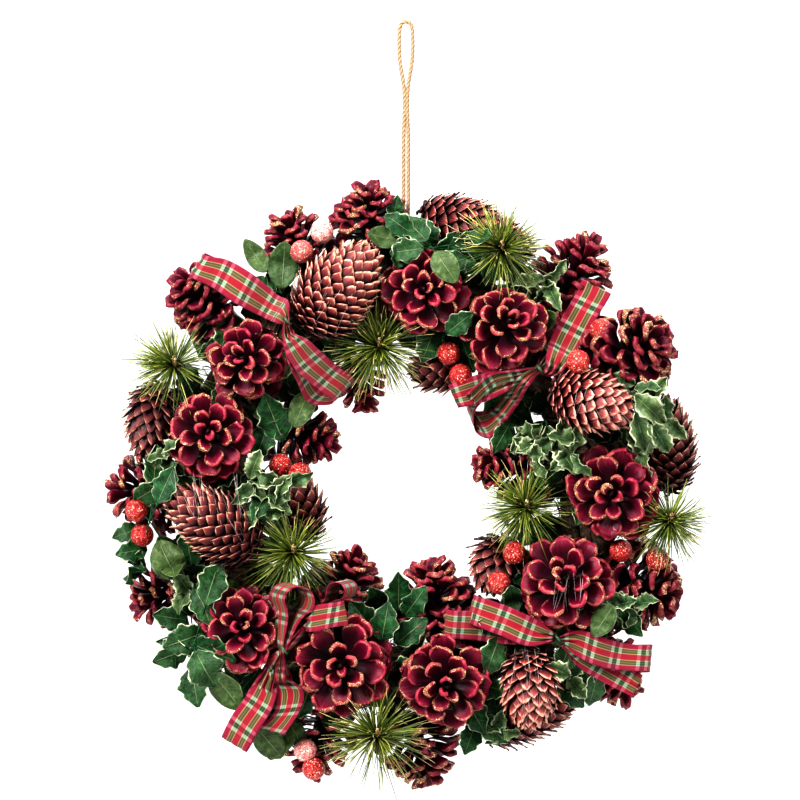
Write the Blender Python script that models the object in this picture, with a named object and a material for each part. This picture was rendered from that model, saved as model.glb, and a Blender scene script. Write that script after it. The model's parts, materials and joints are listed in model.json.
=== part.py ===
"""Pine cone wreath on a twine loop.

The wreath stands in the XZ plane and its front faces -Y. The origin is where a nail carries the
twine, and the ring hangs straight below it. Pieces are worked out in millimetres about the ring's
centre, in the order a maker fixes them: ring, twine, cones, sprigs, bows and needle sprays. Each one
is pushed or bent until it is clear of all that is already there.
"""

import math

import bmesh
import bpy
import numpy as np
from mathutils import Matrix, Vector
from mathutils.bvhtree import BVHTree

MM = 0.001
CLEAR = 0.3

# Base ring, and where its centre hangs below the nail
RING_RADIUS = 115.0
RING_TUBE = 21.0
RING_STRANDS = 3
HANG_DROP = 280.0
HANG_OFFSET = 2.4

# Twine
TWINE_DIAMETER = 2.2
EYE_WIDTH = 7.6
EYE_HEIGHT = 38.0

# Pine cones: place across and up from the ring's centre, width, height, heading, rise
# The heading turns from +X towards +Z, and the rise tips the cone from there towards the viewer.
FRONT_CONES = (
    (-94, 76, 50, 36, 140, 80),
    (-115, 32, 54, 38, 100, 82),
    (13, 117, 53, 38, 90, 85),
    (62, 97, 55, 40, 50, 72),
    (125, -3, 59, 40, 180, 82),
    (97, -55, 61, 42, 110, 75),
    (26, -117, 56, 40, 270, 85),
    (-36, -105, 62, 42, 200, 85),
    (-95, -83, 53, 38, 90, 80),
)
INNER_CONES = (
    (18, -62, 46, 46, 95, 25),
    (-57, 31, 40, 46, 345, 20),
    (-27, 62, 36, 46, 285, 10),
    (-33, -56, 42, 46, 60, 25),
    (63, 13, 44, 48, 180, 15),
)
OUTER_CONES = (
    (-20, 166, 44, 38, 94, 28),
    (-65, 149, 42, 44, 115, 18),
    (-117, 111, 48, 46, 145, 30),
    (143, 83, 50, 44, 30, 38),
    (106, 131, 44, 50, 57, 12),
    (-160, -3, 46, 44, 185, 15),
    (-146, -66, 40, 44, 202, 10),
    (-52, -157, 42, 44, 253, 12),
    (12, -163, 44, 46, 290, 5),
    (151, -63, 48, 44, 338, 22),
    (127, -113, 42, 48, 312, 0),
)

# Spruce cones: place, width, length, heading, and the side of the ring that each is on
SPRUCE_CONES = (
    (-38, 118, 44, 68, 50, "front"),
    (46, 159, 33, 76, 340, "rim"),
    (113, 51, 35, 56, 342, "front"),
    (-112, -21, 38, 68, 147, "front"),
    (-152, 41, 32, 50, 255, "rim"),
    (77, -121, 37, 54, 270, "front"),
    (80, -146, 30, 70, 20, "rim"),
    (163, 25, 28, 58, 95, "rim"),
    (-59, -12, 32, 50, 105, "hole"),
    (22, 67, 28, 40, 180, "hole"),
    (55, -48, 32, 42, 250, "hole"),
)

# Y of a spruce cone's axis on each side, before it is moved clear
SPRUCE_DEPTH = {"front": -40.0, "rim": -8.0, "hole": -10.0}

# Sprigs: bud place, leaves (place of the blade's middle, length, width), berries (place)
BERRY_RADIUS = 7.0
SPRIGS = (
    ((-72, 116), ((-71, 131, 28, 18), (-88, 139, 24, 12), (-84, 122, 20, 11)), ((-48, 153), (-60, 141))),
    ((18, 143), ((-11, 149, 20, 13), (-2, 157, 20, 13), (8, 154, 20, 14), (3, 141, 20, 13),
                 (26, 131, 22, 15), (42, 147, 22, 14), (49, 140, 20, 13)), ()),
    ((-70, 24), ((-77, 42, 30, 18), (-60, 47, 24, 14), (-91, 1, 24, 13), (-84, -9, 24, 12)),
     ((-73, 13), (-61, 8))),
    ((-150, -20), ((-148, 13, 26, 15), (-140, 2, 24, 13), (-140, -41, 26, 18), (-160, -47, 20, 12)),
     ((-159, -14), (-156, -29))),
    ((-124, -94), ((-113, -57, 26, 16), (-128, -64, 26, 15), (-136, -94, 22, 17), (-117, -107, 24, 19),
                   (-104, -121, 28, 17), (-80, -152, 26, 16)), ((-58, -158), (-53, -169))),
    ((-2, -82), ((-12, -69, 24, 14), (-2, -62, 24, 14), (8, -68, 22, 13)), ()),
    ((86, 40), ((77, 32, 26, 14), (90, 24, 26, 14), (98, 18, 24, 13)), ()),
    ((134, 58), ((146, 47, 26, 16), (152, 29, 26, 15), (141, 34, 24, 13)), ((104, 75), (119, 94))),
    ((127, -67), ((122, -82, 24, 15), (137, -83, 22, 14), (108, -113, 26, 14), (115, -121, 22, 12)),
     ((131, -38), (153, -43))),
    ((24, 90), ((33, 97, 20, 12),), ((28, 80), (35, 67))),
    ((62, -50), ((66, -68, 20, 12),), ((67, -39), (58, -57))),
)

# Bows: knot place, then limbs that lie flat, as loops or single tails, and loops that stand up
RIBBON_WIDTH = 18.0
RIBBON_THICKNESS = 0.8
BOWS = (
    ((-68, 99), ((-117, 131), (-37, 55)), (), ()),
    ((83, 72), ((115, 119), (47, 34)), ((29, 54),), ()),
    ((94, -89), ((41, -73), (146, -100)), ((26, -81), (140, -118)), ()),
    ((-70, -98), ((-100, -153),), ((-73, -147), (-32, -74)), ((-64, -68, 12), (-44, -64, 8))),
)

# Needle sprays: place and spread
NEEDLE_SPRAYS = (
    (-136, 73, 48),
    (-14, 84, 60),
    (59, 142, 50),
    (74, -12, 52),
    (160, -20, 48),
    (-65, -39, 52),
    (-15, -148, 60),
)


# Scene and materials

for thing in list(bpy.data.objects):
    bpy.data.objects.remove(thing, do_unlink=True)

wreath = bpy.data.collections.new("wreath")
bpy.context.scene.collection.children.link(wreath)

centre = bpy.data.objects.new("ring_centre", None)
centre.location = (-HANG_OFFSET * MM, 0, -HANG_DROP * MM)
wreath.objects.link(centre)


def material(name, colour, roughness):
    """Plain Principled finish."""
    made = bpy.data.materials.new(name)
    made.use_nodes = True
    shader = made.node_tree.nodes["Principled BSDF"]
    shader.inputs["Base Color"].default_value = (*colour, 1.0)
    shader.inputs["Roughness"].default_value = roughness
    made.diffuse_color = (*colour, 1.0)
    return made


VINE = material("vine", (0.16, 0.09, 0.05), 0.8)
JUTE = material("jute_twine", (0.50, 0.33, 0.17), 0.9)
PINE = material("burgundy_pine_cone", (0.26, 0.02, 0.04), 0.55)
SPRUCE = material("red_spruce_cone", (0.33, 0.08, 0.07), 0.6)
FOLIAGE = material("leaf_and_berry", (0.08, 0.20, 0.06), 0.6)
TARTAN = material("tartan_ribbon", (0.55, 0.03, 0.06), 0.5)
NEEDLE = material("pine_needle", (0.16, 0.26, 0.06), 0.55)


# Meshes and joins

def mesh_object(name, points, faces, finish):
    """Closed mesh from millimetre points about the ring's centre."""
    mesh = bpy.data.meshes.new(name)
    mesh.from_pydata([tuple(point) for point in np.asarray(points) * MM], [], faces)
    shape = bmesh.new()
    shape.from_mesh(mesh)
    bmesh.ops.recalc_face_normals(shape, faces=shape.faces)
    shape.to_mesh(mesh)
    shape.free()
    mesh.materials.append(finish)
    made = bpy.data.objects.new(name, mesh)
    made.parent = centre
    wreath.objects.link(made)
    return made


def loft(sections):
    """Skin and two caps over closed sections, each face pair split alike on front and back."""
    count = len(sections[0])
    points = [point for section in sections for point in section]
    faces = []
    for i in range(len(sections) - 1):
        for j in range(count):
            a = i * count + j
            b = i * count + (j + 1) % count
            c = b + count
            d = a + count
            if j < count / 2:
                faces += [(a, b, c), (a, c, d)]
            else:
                faces += [(a, b, d), (b, c, d)]
    last = (len(sections) - 1) * count
    for j in range(1, count - 1):
        faces += [(0, j + 1, j), (last, last + j, last + j + 1)]
    return np.array(points, float), faces


def ball(radii, place, segments=8, rings=4):
    """Sphere primitive, stretched and set at a place."""
    shape = bmesh.new()
    bmesh.ops.create_uvsphere(shape, u_segments=segments, v_segments=rings, radius=1.0)
    bmesh.ops.triangulate(shape, faces=shape.faces)
    points = np.array([point.co for point in shape.verts]) * radii + np.array(place)
    faces = [tuple(point.index for point in face.verts) for face in shape.faces]
    shape.free()
    return points, faces


def fuse(name, shapes, finish):
    """One body from a node's overlapping closed shapes, by one Boolean union."""
    objects = [mesh_object(name + "_shape", points, faces, finish) for points, faces in shapes]
    joined = bpy.data.collections.new(name + "_shapes")
    bpy.context.scene.collection.children.link(joined)
    for thing in objects[1:]:
        wreath.objects.unlink(thing)
        joined.objects.link(thing)
    union = objects[0].modifiers.new("union", "BOOLEAN")
    union.operation = "UNION"
    union.operand_type = "COLLECTION"
    union.collection = joined
    union.solver = "MANIFOLD"
    bpy.context.view_layer.update()
    graph = bpy.context.evaluated_depsgraph_get()
    mesh = bpy.data.meshes.new_from_object(objects[0].evaluated_get(graph))
    for thing in objects:
        bpy.data.objects.remove(thing, do_unlink=True)
    bpy.data.collections.remove(joined)
    shape = bmesh.new()
    shape.from_mesh(mesh)
    bmesh.ops.triangulate(shape, faces=shape.faces)
    bmesh.ops.dissolve_degenerate(shape, dist=0.005 * MM, edges=shape.edges)
    bmesh.ops.triangulate(shape, faces=shape.faces)
    points = np.array([point.co for point in shape.verts]) / MM
    faces = [tuple(point.index for point in face.verts) for face in shape.faces]
    shape.free()
    bpy.data.meshes.remove(mesh)
    return points, faces


# Room between pieces

placed = []


def place(points, faces):
    """Remember a piece, so that later ones keep clear of it."""
    tree = BVHTree.FromPolygons(points.tolist(), faces)
    placed.append((tree, points.min(axis=0), points.max(axis=0)))


def swell(points, faces, amount):
    """Points moved out along their normals."""
    corners = points[np.array(faces)]
    across = np.cross(corners[:, 1] - corners[:, 0], corners[:, 2] - corners[:, 0])
    normals = np.zeros_like(points)
    for column in range(3):
        np.add.at(normals, np.array(faces)[:, column], across)
    lengths = np.linalg.norm(normals, axis=1, keepdims=True)
    inside = points.mean(axis=0)
    facing = np.sum(across * (corners.mean(axis=1) - inside))
    return points + np.sign(facing) * amount * normals / np.maximum(lengths, 1e-9)


def blocked(points, faces):
    """Whether a piece, as it is or swollen by the room it needs, meets any placed piece."""
    outer = swell(points, faces, CLEAR)
    low = outer.min(axis=0)
    high = outer.max(axis=0)
    near = []
    for tree, tree_low, tree_high in placed:
        if np.all(low <= tree_high) and np.all(high >= tree_low):
            near.append(tree)
    if not near:
        return False
    trees = [BVHTree.FromPolygons(shape.tolist(), faces) for shape in (outer, points)]
    return any(tree.overlap(other) for tree in trees for other in near)


def push_out(points, faces, away):
    """Shift along away that frees the piece, or none if it is clear where it is."""
    shift = 0.0
    while blocked(points + away * shift, faces):
        shift += 1.0
    while shift > 0.0 and not blocked(points + away * (shift - 0.25), faces):
        shift -= 0.25
    return shift


def slide_in(points, faces, away, reach=45.0):
    """Shift against away that brings the piece up to what carries it."""
    shift = 0.0
    while not blocked(points + away * shift, faces) and shift > -reach:
        shift -= 1.0
    while blocked(points + away * shift, faces):
        shift += 0.25
    return shift


def first_hit(start, direction, reach=80.0):
    """Distance from a start to the nearest placed surface in a direction."""
    nearest = reach
    for tree, low, high in placed:
        distance = tree.ray_cast(Vector(start), Vector(direction), nearest)[3]
        if distance is not None:
            nearest = min(nearest, distance)
    return nearest


def front_depth(x, z):
    """Y of the first surface that the viewer meets at a place."""
    depth = 8.0
    for tree, low, high in placed:
        if low[0] <= x <= high[0] and low[2] <= z <= high[2]:
            hit = tree.ray_cast(Vector((x, -200.0, z)), Vector((0, 1, 0)))[0]
            if hit is not None:
                depth = min(depth, hit.y)
    return depth


def seat_ball(x, z, radius):
    """Y at which a ball, slid in from the front, nearly touches what is behind it."""
    depth = front_depth(x, z) - radius
    for ring in (0.3, 0.6, 0.85, 1.0, 1.1):
        bulge = radius * math.sqrt(max(0.0, 1.0 - ring * ring))
        for step in range(14):
            angle = 2 * math.pi * step / 14
            across = x + ring * radius * math.cos(angle)
            up = z + ring * radius * math.sin(angle)
            depth = min(depth, front_depth(across, up) - bulge)
    return depth - 0.5


def lay(path, half_widths, room, slope=0.9):
    """Depths that carry a strip just in front of all that it passes, with a limited slope."""
    path = np.array(path, float)
    supports = []
    for i in range(len(path) - 1):
        along = path[i + 1] - path[i]
        side = np.array([-along[1], along[0]]) / np.linalg.norm(along)
        count = 1 + int(np.linalg.norm(along) / 2.5)
        for part in np.linspace(0.0, 1.0, count + 1):
            width = half_widths[i] + part * (half_widths[i + 1] - half_widths[i])
            for offset in (-1.0, -0.6, -0.2, 0.2, 0.6, 1.0):
                x, z = path[i] + part * along + side * offset * width
                supports.append((i, part, front_depth(x, z)))
    depths = np.full(len(path), 8.0)
    for i, part, depth in supports:
        if part < 0.8:
            depths[i] = min(depths[i], depth)
        if part > 0.2:
            depths[i + 1] = min(depths[i + 1], depth)
    for sweep in range(40):
        overs = [(1 - part) * depths[i] + part * depths[i + 1] - depth for i, part, depth in supports]
        worst = int(np.argmax(overs))
        i, part, depth = supports[worst]
        share = max(0.0, overs[worst]) / ((1 - part) ** 2 + part ** 2)
        depths[i] -= share * (1 - part)
        depths[i + 1] -= share * part
    steps = np.linalg.norm(np.diff(path, axis=0), axis=1)
    travel = np.concatenate([[0.0], np.cumsum(steps)])
    spread = np.abs(travel[:, None] - travel[None, :])
    return np.min(depths[None, :] + slope * spread, axis=1) - room


def way_back(start, reach):
    """Unit way to what carries a piece: straight back to what is within reach, or to the ring."""
    x, y, z = start
    way = np.array([0.0, 1.0, 0.0])
    if first_hit(start, way) > reach:
        way = RING_RADIUS * np.array([x, 0.0, z]) / math.hypot(x, z) - start
        way = way / np.linalg.norm(way)
    return way


def peg(start, half=1.6):
    """Three-sided peg from inside a piece to just off the surface that carries it."""
    way = way_back(start, 30.0)
    side = np.array(Vector(way).orthogonal().normalized()) * half
    up = np.cross(way, side)
    corners = [side, 0.87 * up - 0.5 * side, -0.87 * up - 0.5 * side]
    starts = [start] + [start + part * corner for corner in corners for part in (-0.7, 0.7, 1.3)]
    reach = max(0.5, min(first_hit(spot, way) for spot in starts) - 1.5 * CLEAR)
    while True:
        ends = [start, start + way * reach]
        shape = loft([[end + corner for corner in corners] for end in ends])
        if reach < 2.0 or not blocked(*shape):
            return shape
        reach -= 1.0


def direction(heading, rise):
    """Unit axis from a heading seen by the viewer and a rise towards them, in degrees."""
    turn = math.radians(heading)
    lift = math.radians(rise)
    flat = math.cos(lift)
    return np.array([math.cos(turn) * flat, -math.sin(lift), math.sin(turn) * flat])


def aim(points, origin, axis, spin=0.0):
    """Turn a piece's +Z to an axis, spin it about that axis and move it."""
    turn = Vector(axis).to_track_quat("Z", "Y").to_matrix() @ Matrix.Rotation(spin, 3, "Z")
    return np.array(points) @ np.array(turn).T + np.array(origin)


# Vine ring

def build_ring():
    """Torus whose tube is twisted from thick strands."""
    bpy.ops.mesh.primitive_torus_add(
        major_segments=32,
        minor_segments=12,
        major_radius=RING_RADIUS,
        minor_radius=RING_TUBE,
    )
    torus = bpy.context.object
    points = []
    for corner in torus.data.vertices:
        along = math.atan2(corner.co.y, corner.co.x)
        out = math.hypot(corner.co.x, corner.co.y) - RING_RADIUS
        round_tube = math.atan2(corner.co.z, out)
        dip = 0.05 * (1 - math.cos(RING_STRANDS * round_tube + 8 * along))
        tube = RING_TUBE * (1 - dip)
        reach = RING_RADIUS + tube * math.cos(round_tube)
        points.append((reach * math.cos(along), tube * math.sin(round_tube), reach * math.sin(along)))
    faces = []
    for face in torus.data.polygons:
        a, b, c, d = face.vertices
        faces += [(a, b, c), (a, c, d)]
    bpy.data.objects.remove(torus, do_unlink=True)
    points = np.array(points)
    mesh_object("vine_ring", points, faces, VINE)
    place(points, faces)


# Twine loop

def twine_route():
    """Once round the ring's top, up one strand, over the crown and down the other."""
    wrap = (RING_TUBE + TWINE_DIAMETER / 2 + 0.5) / math.cos(math.pi / 13)
    strand = TWINE_DIAMETER / 2 + 0.3
    middle = HANG_OFFSET
    bend = EYE_WIDTH / 2 - 0.2
    crown = HANG_DROP + TWINE_DIAMETER / 2
    points = []
    for step in range(14):
        turn = 2 * math.pi * step / 13
        across = middle - 2.4 + 4.6 * step / 13
        points.append((across, -wrap * math.sin(turn), RING_RADIUS + wrap * math.cos(turn)))
    low = RING_RADIUS + wrap
    for height in (low + 6, low + 36, low + 70, crown - EYE_HEIGHT):
        points.append((middle + strand, 0.0, height))
    points.append((middle + bend, 0.0, crown - EYE_HEIGHT + 14))
    points.append((middle + bend + 0.4, 0.0, crown - bend - 6))
    for step in range(7):
        turn = math.pi * step / 6
        points.append((middle + bend * math.cos(turn), 0.0, crown - bend + bend * math.sin(turn)))
    points.append((middle - bend - 0.4, 0.0, crown - bend - 6))
    points.append((middle - bend, 0.0, crown - EYE_HEIGHT + 14))
    for height in (crown - EYE_HEIGHT, low + 70, low + 36, low + 4):
        points.append((middle - strand, 0.0, height))
    return points


def build_twine():
    """Round twine along its route, as one tube."""
    curve = bpy.data.curves.new("twine_loop", "CURVE")
    curve.dimensions = "3D"
    curve.bevel_depth = TWINE_DIAMETER / 2 * MM
    curve.bevel_resolution = 2
    curve.use_fill_caps = True
    route = twine_route()
    spline = curve.splines.new("POLY")
    spline.points.add(len(route) - 1)
    for knot, point in zip(spline.points, route):
        knot.co = (*[value * MM for value in point], 1.0)
    curve.materials.append(JUTE)
    twine = bpy.data.objects.new("twine_loop", curve)
    twine.parent = centre
    wreath.objects.link(twine)
    bpy.context.view_layer.update()
    graph = bpy.context.evaluated_depsgraph_get()
    shape = bmesh.new()
    shape.from_mesh(twine.evaluated_get(graph).to_mesh())
    bmesh.ops.triangulate(shape, faces=shape.faces)
    points = np.array([point.co for point in shape.verts]) / MM
    faces = [tuple(point.index for point in face.verts) for face in shape.faces]
    shape.free()
    place(points, faces)


# Pine cones

def pine_cone(width, height, columns, rows, stalk):
    """Open cone along +Z from its base: spiral rows of scales on a tapering core.

    Each cell between two neighbouring core rings grows one scale: a broad blade with a keel below,
    drawn out to a blunt tip. Lower scales spread flat and upper ones stand up round the bud.
    """
    points = []
    faces = []
    for k in range(rows + 1):
        radius = width * (0.13 - 0.06 * k / rows)
        level = height * (0.1 + 0.62 * k / rows)
        for j in range(columns):
            turn = 2 * math.pi * (j + 0.5 * k) / columns
            points.append((radius * math.cos(turn), radius * math.sin(turn), level))
    for k in range(rows):
        up = k / (rows - 1)
        middle = (k + 0.5) / rows
        root = np.array([width * (0.13 - 0.06 * middle), height * (0.1 + 0.62 * middle)])
        tip = np.array([width / 2 * (1 - 0.62 * up ** 1.6), height * (0.05 + 0.93 * up ** 0.9)])
        broad = root + 0.7 * (tip - root)
        along = (tip - root) / np.linalg.norm(tip - root)
        keel = broad + 0.058 * width * np.array([along[1], -along[0]])
        half = 0.34 * broad[0] * 7 / columns
        for j in range(columns):
            turn = 2 * math.pi * (j + 0.75 + 0.5 * k) / columns
            out = np.array([math.cos(turn), math.sin(turn), 0.0])
            side = np.array([-math.sin(turn), math.cos(turn), 0.0])
            rise = np.array([0.0, 0.0, 1.0])
            low_left = k * columns + j
            low_right = k * columns + (j + 1) % columns
            top_left = low_left + columns
            top_right = low_right + columns
            wide_left = len(points)
            wide_right, under, tip_left, tip_right = range(wide_left + 1, wide_left + 5)
            corners = ((broad, -1.0), (broad, 1.0), (keel, 0.0), (tip, -0.6), (tip, 0.6))
            for spot, sideways in corners:
                points.append(out * spot[0] + rise * spot[1] + side * sideways * half)
            faces += [
                (top_left, top_right, wide_right),
                (top_left, wide_right, wide_left),
                (wide_left, wide_right, tip_right),
                (wide_left, tip_right, tip_left),
                (low_left, top_left, wide_left),
                (low_left, wide_left, under),
                (low_right, wide_right, top_right),
                (low_right, under, wide_right),
                (low_left, under, low_right),
                (wide_left, tip_left, under),
                (tip_left, tip_right, under),
                (tip_right, wide_right, under),
            ]
    bud = len(points)
    points.append((0.0, 0.0, 0.9 * height))
    for j in range(columns):
        faces.append((rows * columns + j, rows * columns + (j + 1) % columns, bud))
    for radius, level in ((0.085 * width, 0.0), (0.065 * width, -stalk)):
        ring = len(points)
        below = ring - columns if level else 0
        for j in range(columns):
            turn = 2 * math.pi * j / columns
            points.append((radius * math.cos(turn), radius * math.sin(turn), level))
        for j in range(columns):
            a = below + j
            b = below + (j + 1) % columns
            faces += [(a, ring + j, b), (b, ring + j, ring + (j + 1) % columns)]
    for j in range(1, columns - 1):
        faces.append((ring, ring + j + 1, ring + j))
    return np.array(points, float), faces


def build_pine_cone(name, spot, away, depth, columns, rows):
    """Cone at the least push from its place, with a stalk back to what carries it."""
    x, z, width, height, heading, rise = spot
    axis = direction(heading, rise)
    points, faces = pine_cone(width, height, columns, rows, 1.0)
    base = np.array([x, depth, z]) - axis * height / 2
    choices = []
    for step in range(4):
        spin = 2 * math.pi * step / (4 * columns)
        choices.append((push_out(aim(points, base, axis, spin), faces, away), spin))
    shift, spin = min(choices)
    base = base + away * shift
    side = np.array(Vector(axis).orthogonal().normalized())
    up = np.cross(axis, side)
    gaps = [first_hit(base, -axis)]
    for step in range(8):
        turn = 2 * math.pi * step / 8
        rim = base + 0.08 * width * (side * math.cos(turn) + up * math.sin(turn))
        gaps.append(first_hit(rim, -axis))
    stalk = min(gaps) - CLEAR
    while True:
        points, faces = pine_cone(width, height, columns, rows, max(1.0, stalk))
        points = aim(points, base, axis, spin)
        if stalk < 1.0 or not blocked(points, faces):
            break
        stalk -= 0.2
    mesh_object(name, points, faces, PINE)
    place(points, faces)


def build_pine_cones():
    """Front row facing the viewer, outer row pointing out, inner row pointing to the hole."""
    for number, spot in enumerate(FRONT_CONES, 1):
        depth = -RING_TUBE - spot[3] / 2 + 6
        build_pine_cone(f"pine_cone_front_{number}", spot, np.array([0.0, -1.0, 0.0]), depth, 6, 4)
    for number, spot in enumerate(OUTER_CONES, 1):
        outward = np.array([spot[0], 0.0, spot[1]]) / math.hypot(spot[0], spot[1])
        off_ring = math.hypot(spot[0], spot[1]) - RING_RADIUS
        depth = min(0.0, 12 - off_ring * math.tan(math.radians(spot[5])))
        build_pine_cone(f"pine_cone_outer_{number}", spot, outward, depth, 6, 3)
    for number, spot in enumerate(INNER_CONES, 1):
        inward = -np.array([spot[0], 0.0, spot[1]]) / math.hypot(spot[0], spot[1])
        depth = 2 - spot[3] / 2 * math.sin(math.radians(spot[5]))
        build_pine_cone(f"pine_cone_inner_{number}", spot, inward, depth, 6, 3)


# Spruce cones

def spruce_cone(width, length, columns, rows):
    """Closed cone along +Z about its middle, its shingled scales raised from a turned profile."""
    def radius(part):
        return width / 2 * math.sin(math.pi * part ** 0.8) ** 0.6

    points = []
    faces = []
    for k in range(rows + 1):
        part = 0.03 + 0.94 * k / rows
        for j in range(columns):
            turn = 2 * math.pi * (j + 0.5 * k) / columns
            reach = 0.88 * radius(part)
            points.append((reach * math.cos(turn), reach * math.sin(turn), length * (part - 0.5)))
    for k in range(rows):
        part = 0.03 + 0.94 * (k + 0.85) / rows
        for j in range(columns):
            turn = 2 * math.pi * (j + 0.75 + 0.5 * k) / columns
            reach = radius(part) * 1.04
            lip = len(points)
            points.append((reach * math.cos(turn), reach * math.sin(turn), length * (part - 0.5)))
            a = k * columns + j
            b = k * columns + (j + 1) % columns
            c = b + columns
            d = a + columns
            faces += [(a, b, lip), (b, c, lip), (c, d, lip), (d, a, lip)]
    for ring, outward in ((0, -1), (rows * columns, 1)):
        middle = len(points)
        points.append((0.0, 0.0, outward * length * 0.49))
        for j in range(columns):
            faces.append((ring + j, ring + (j + 1) % columns, middle))
    return np.array(points, float), faces


def build_spruce_cones():
    """Cones slid onto the front, or pegged to the ring on its rim and in the hole's edge."""
    for number, (x, z, width, length, heading, side) in enumerate(SPRUCE_CONES, 1):
        name = f"spruce_cone_{number}"
        middle = np.array([x, SPRUCE_DEPTH[side], z])
        points, faces = spruce_cone(width, length, 7, 8)
        points = aim(points, middle, direction(heading, 6))
        if side == "front":
            away = np.array([0.0, -1.0, 0.0])
            shift = push_out(points, faces, away) or slide_in(points, faces, away)
            points = points + away * shift
        else:
            outward = np.array([x, 0.0, z]) / math.hypot(x, z)
            away = outward if side == "rim" else -outward
            shift = push_out(points, faces, away)
            points = points + away * shift
            points, faces = fuse(name, [(points, faces), peg(middle + away * shift)], SPRUCE)
        mesh_object(name, points, faces, SPRUCE)
        place(points, faces)


# Sprigs of leaves and berries

def leaf_path(bud, blade, room):
    """Stations from the bud to the leaf's tip, with their half widths and depths."""
    x, z, length, width = blade
    run = np.array([x, z]) - bud
    away = run / np.linalg.norm(run)
    reach = max(np.linalg.norm(run) + length / 2, length + 3)
    blade_parts = np.array((0.3, 0.5, 0.7, 1.0))
    stations = np.concatenate([[0.0], reach - length * (1 - blade_parts)])
    halves = np.array((0.8, 0.5 * width, 0.36 * width, 0.4 * width, 0.5))
    path = bud + stations[:, None] * away
    return path, halves, lay(path, halves, room + 0.7)


def leaf(path, halves, depths):
    """Toothed leaf on its stalk, thick along the rib behind, its edges curled to the viewer."""
    away = (path[-1] - path[0]) / np.linalg.norm(path[-1] - path[0])
    side = np.array([-away[1], 0.0, away[0]])
    thick = np.array([0.0, 0.6, 0.0])
    sections = []
    for spot, half, depth in zip(path, halves, depths):
        rib = np.array([spot[0], depth, spot[1]])
        curl = np.array([0.0, -0.6 - 0.1 * half, 0.0])
        sections.append([rib - side * half + curl, rib + side * half + curl, rib + thick])
    return loft(sections)


def stem(path, depths):
    """Thin three-sided stem from the bud to a berry."""
    run = (path[-1] - path[0]) / np.linalg.norm(path[-1] - path[0])
    side = np.array([-run[1], 0.0, run[0]]) * 0.8
    lift = np.array([0.0, 0.7, 0.0])
    sections = []
    for spot, depth in zip(path, depths):
        middle = np.array([spot[0], depth, spot[1]])
        sections.append([middle - side + lift, middle - lift, middle + side + lift])
    return loft(sections)


def sprig(spot, room):
    """Bud, leaves, stems and berries as overlapping closed shapes.

    The bud stands as far forward as its leaves and stems need, on a peg from what is behind it.
    """
    (x, z), blades, berries = spot
    root = np.array([x, z], float)
    blades = [leaf_path(root, blade, room) for blade in blades]
    stems = []
    for berry in berries:
        path = root + np.outer((0.0, 0.5, 1.0), np.array(berry) - root)
        stems.append((path, lay(path, (0.9, 0.9, 0.9), room + 0.8, slope=1.6)))
    fronts = [depths[0] for path, halves, depths in blades] + [depths[0] for path, depths in stems]
    bud = np.array([x, min([seat_ball(x, z, 3.0) - room] + fronts), z])
    shapes = [ball((3.2, 3.2, 3.2), bud, 5, 4), peg(bud)]
    for path, halves, depths in blades:
        depths[0] = bud[1]
        shapes.append(leaf(path, halves, depths))
    for (path, depths), (across, up) in zip(stems, berries):
        depths[0] = bud[1]
        depths[-1] = min(depths[-1], seat_ball(across, up, BERRY_RADIUS) - room)
        shapes.append(ball((BERRY_RADIUS,) * 3, (across, depths[-1], up), 7, 4))
        shapes.append(stem(path, depths))
    return shapes


def build_sprigs():
    """Each sprig raised in small steps until all of it is clear."""
    for number, spot in enumerate(SPRIGS, 1):
        for step in range(16):
            shapes = sprig(spot, 0.75 * step)
            if not any(blocked(points, faces) for points, faces in shapes):
                break
        points, faces = fuse(f"leaf_sprig_{number}", shapes, FOLIAGE)
        mesh_object(f"leaf_sprig_{number}", points, faces, FOLIAGE)
        place(points, faces)


# Ribbon bows

def strip(centres, halves, across):
    """Thin ribbon along its centres, its width along the across direction."""
    centres = np.array(centres, float)
    across = across / np.linalg.norm(across)
    runs = np.gradient(centres, axis=0)
    sections = []
    for middle, half, run in zip(centres, halves, runs):
        normal = np.cross(run, across)
        normal = normal / np.linalg.norm(normal) * RIBBON_THICKNESS / 2
        side = across * half
        sections.append([middle - side - normal, middle + side - normal,
                         middle + side + normal, middle - side + normal])
    return loft(sections)


def flat_path(knot, end, room):
    """Stations of a lying limb from the knot to its end, with their half widths and depths."""
    full = RIBBON_WIDTH / 2
    halves = np.array((3.2, 0.75 * full, full, full, full))
    path = knot + np.outer((0.0, 0.25, 0.55, 0.93, 1.0), np.array(end) - knot)
    return path, halves, lay(path, halves, room + 0.9, slope=0.7)


def flat_limb(path, halves, depths, looped):
    """Single tail, or a loop that folds at its end and comes back in front."""
    run = path[-1] - path[0]
    across = np.array([-run[1], 0.0, run[0]])
    out = [(x, depth, z) for (x, z), depth in zip(path, depths)]
    if not looped:
        return strip(out, halves, across)
    opening = (2.0, 5.5, 7.5, 5.0)
    home = [(x, depth - gap, z) for (x, depth, z), gap in zip(out[:4], opening)]
    tip = (path[4][0], depths[3] - 2.5, path[4][1])
    return strip(out[:4] + [tip] + home[::-1], np.concatenate([halves, halves[3::-1]]), across)


def standing_path(knot, loop, room):
    """Stations round a loop that stands on its edge, with their half widths and depths."""
    x, z, radius = loop
    middle = np.array([x, z], float)
    away = (middle - knot) / np.linalg.norm(middle - knot)
    side = np.array([-away[1], away[0]])
    full = RIBBON_WIDTH / 2
    path = [knot - side * 0.9]
    for step in range(6):
        turn = math.radians(-140 + 280 * step / 5)
        path.append(middle + radius * (away * math.cos(turn) + side * math.sin(turn)))
    path = np.array(path + [knot + side * 0.9])
    halves = np.array((2.5,) + (full,) * 6 + (2.5,))
    return path, halves, lay(path, (3.5,) * 8, room + full + 0.6, slope=1.2)


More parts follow.
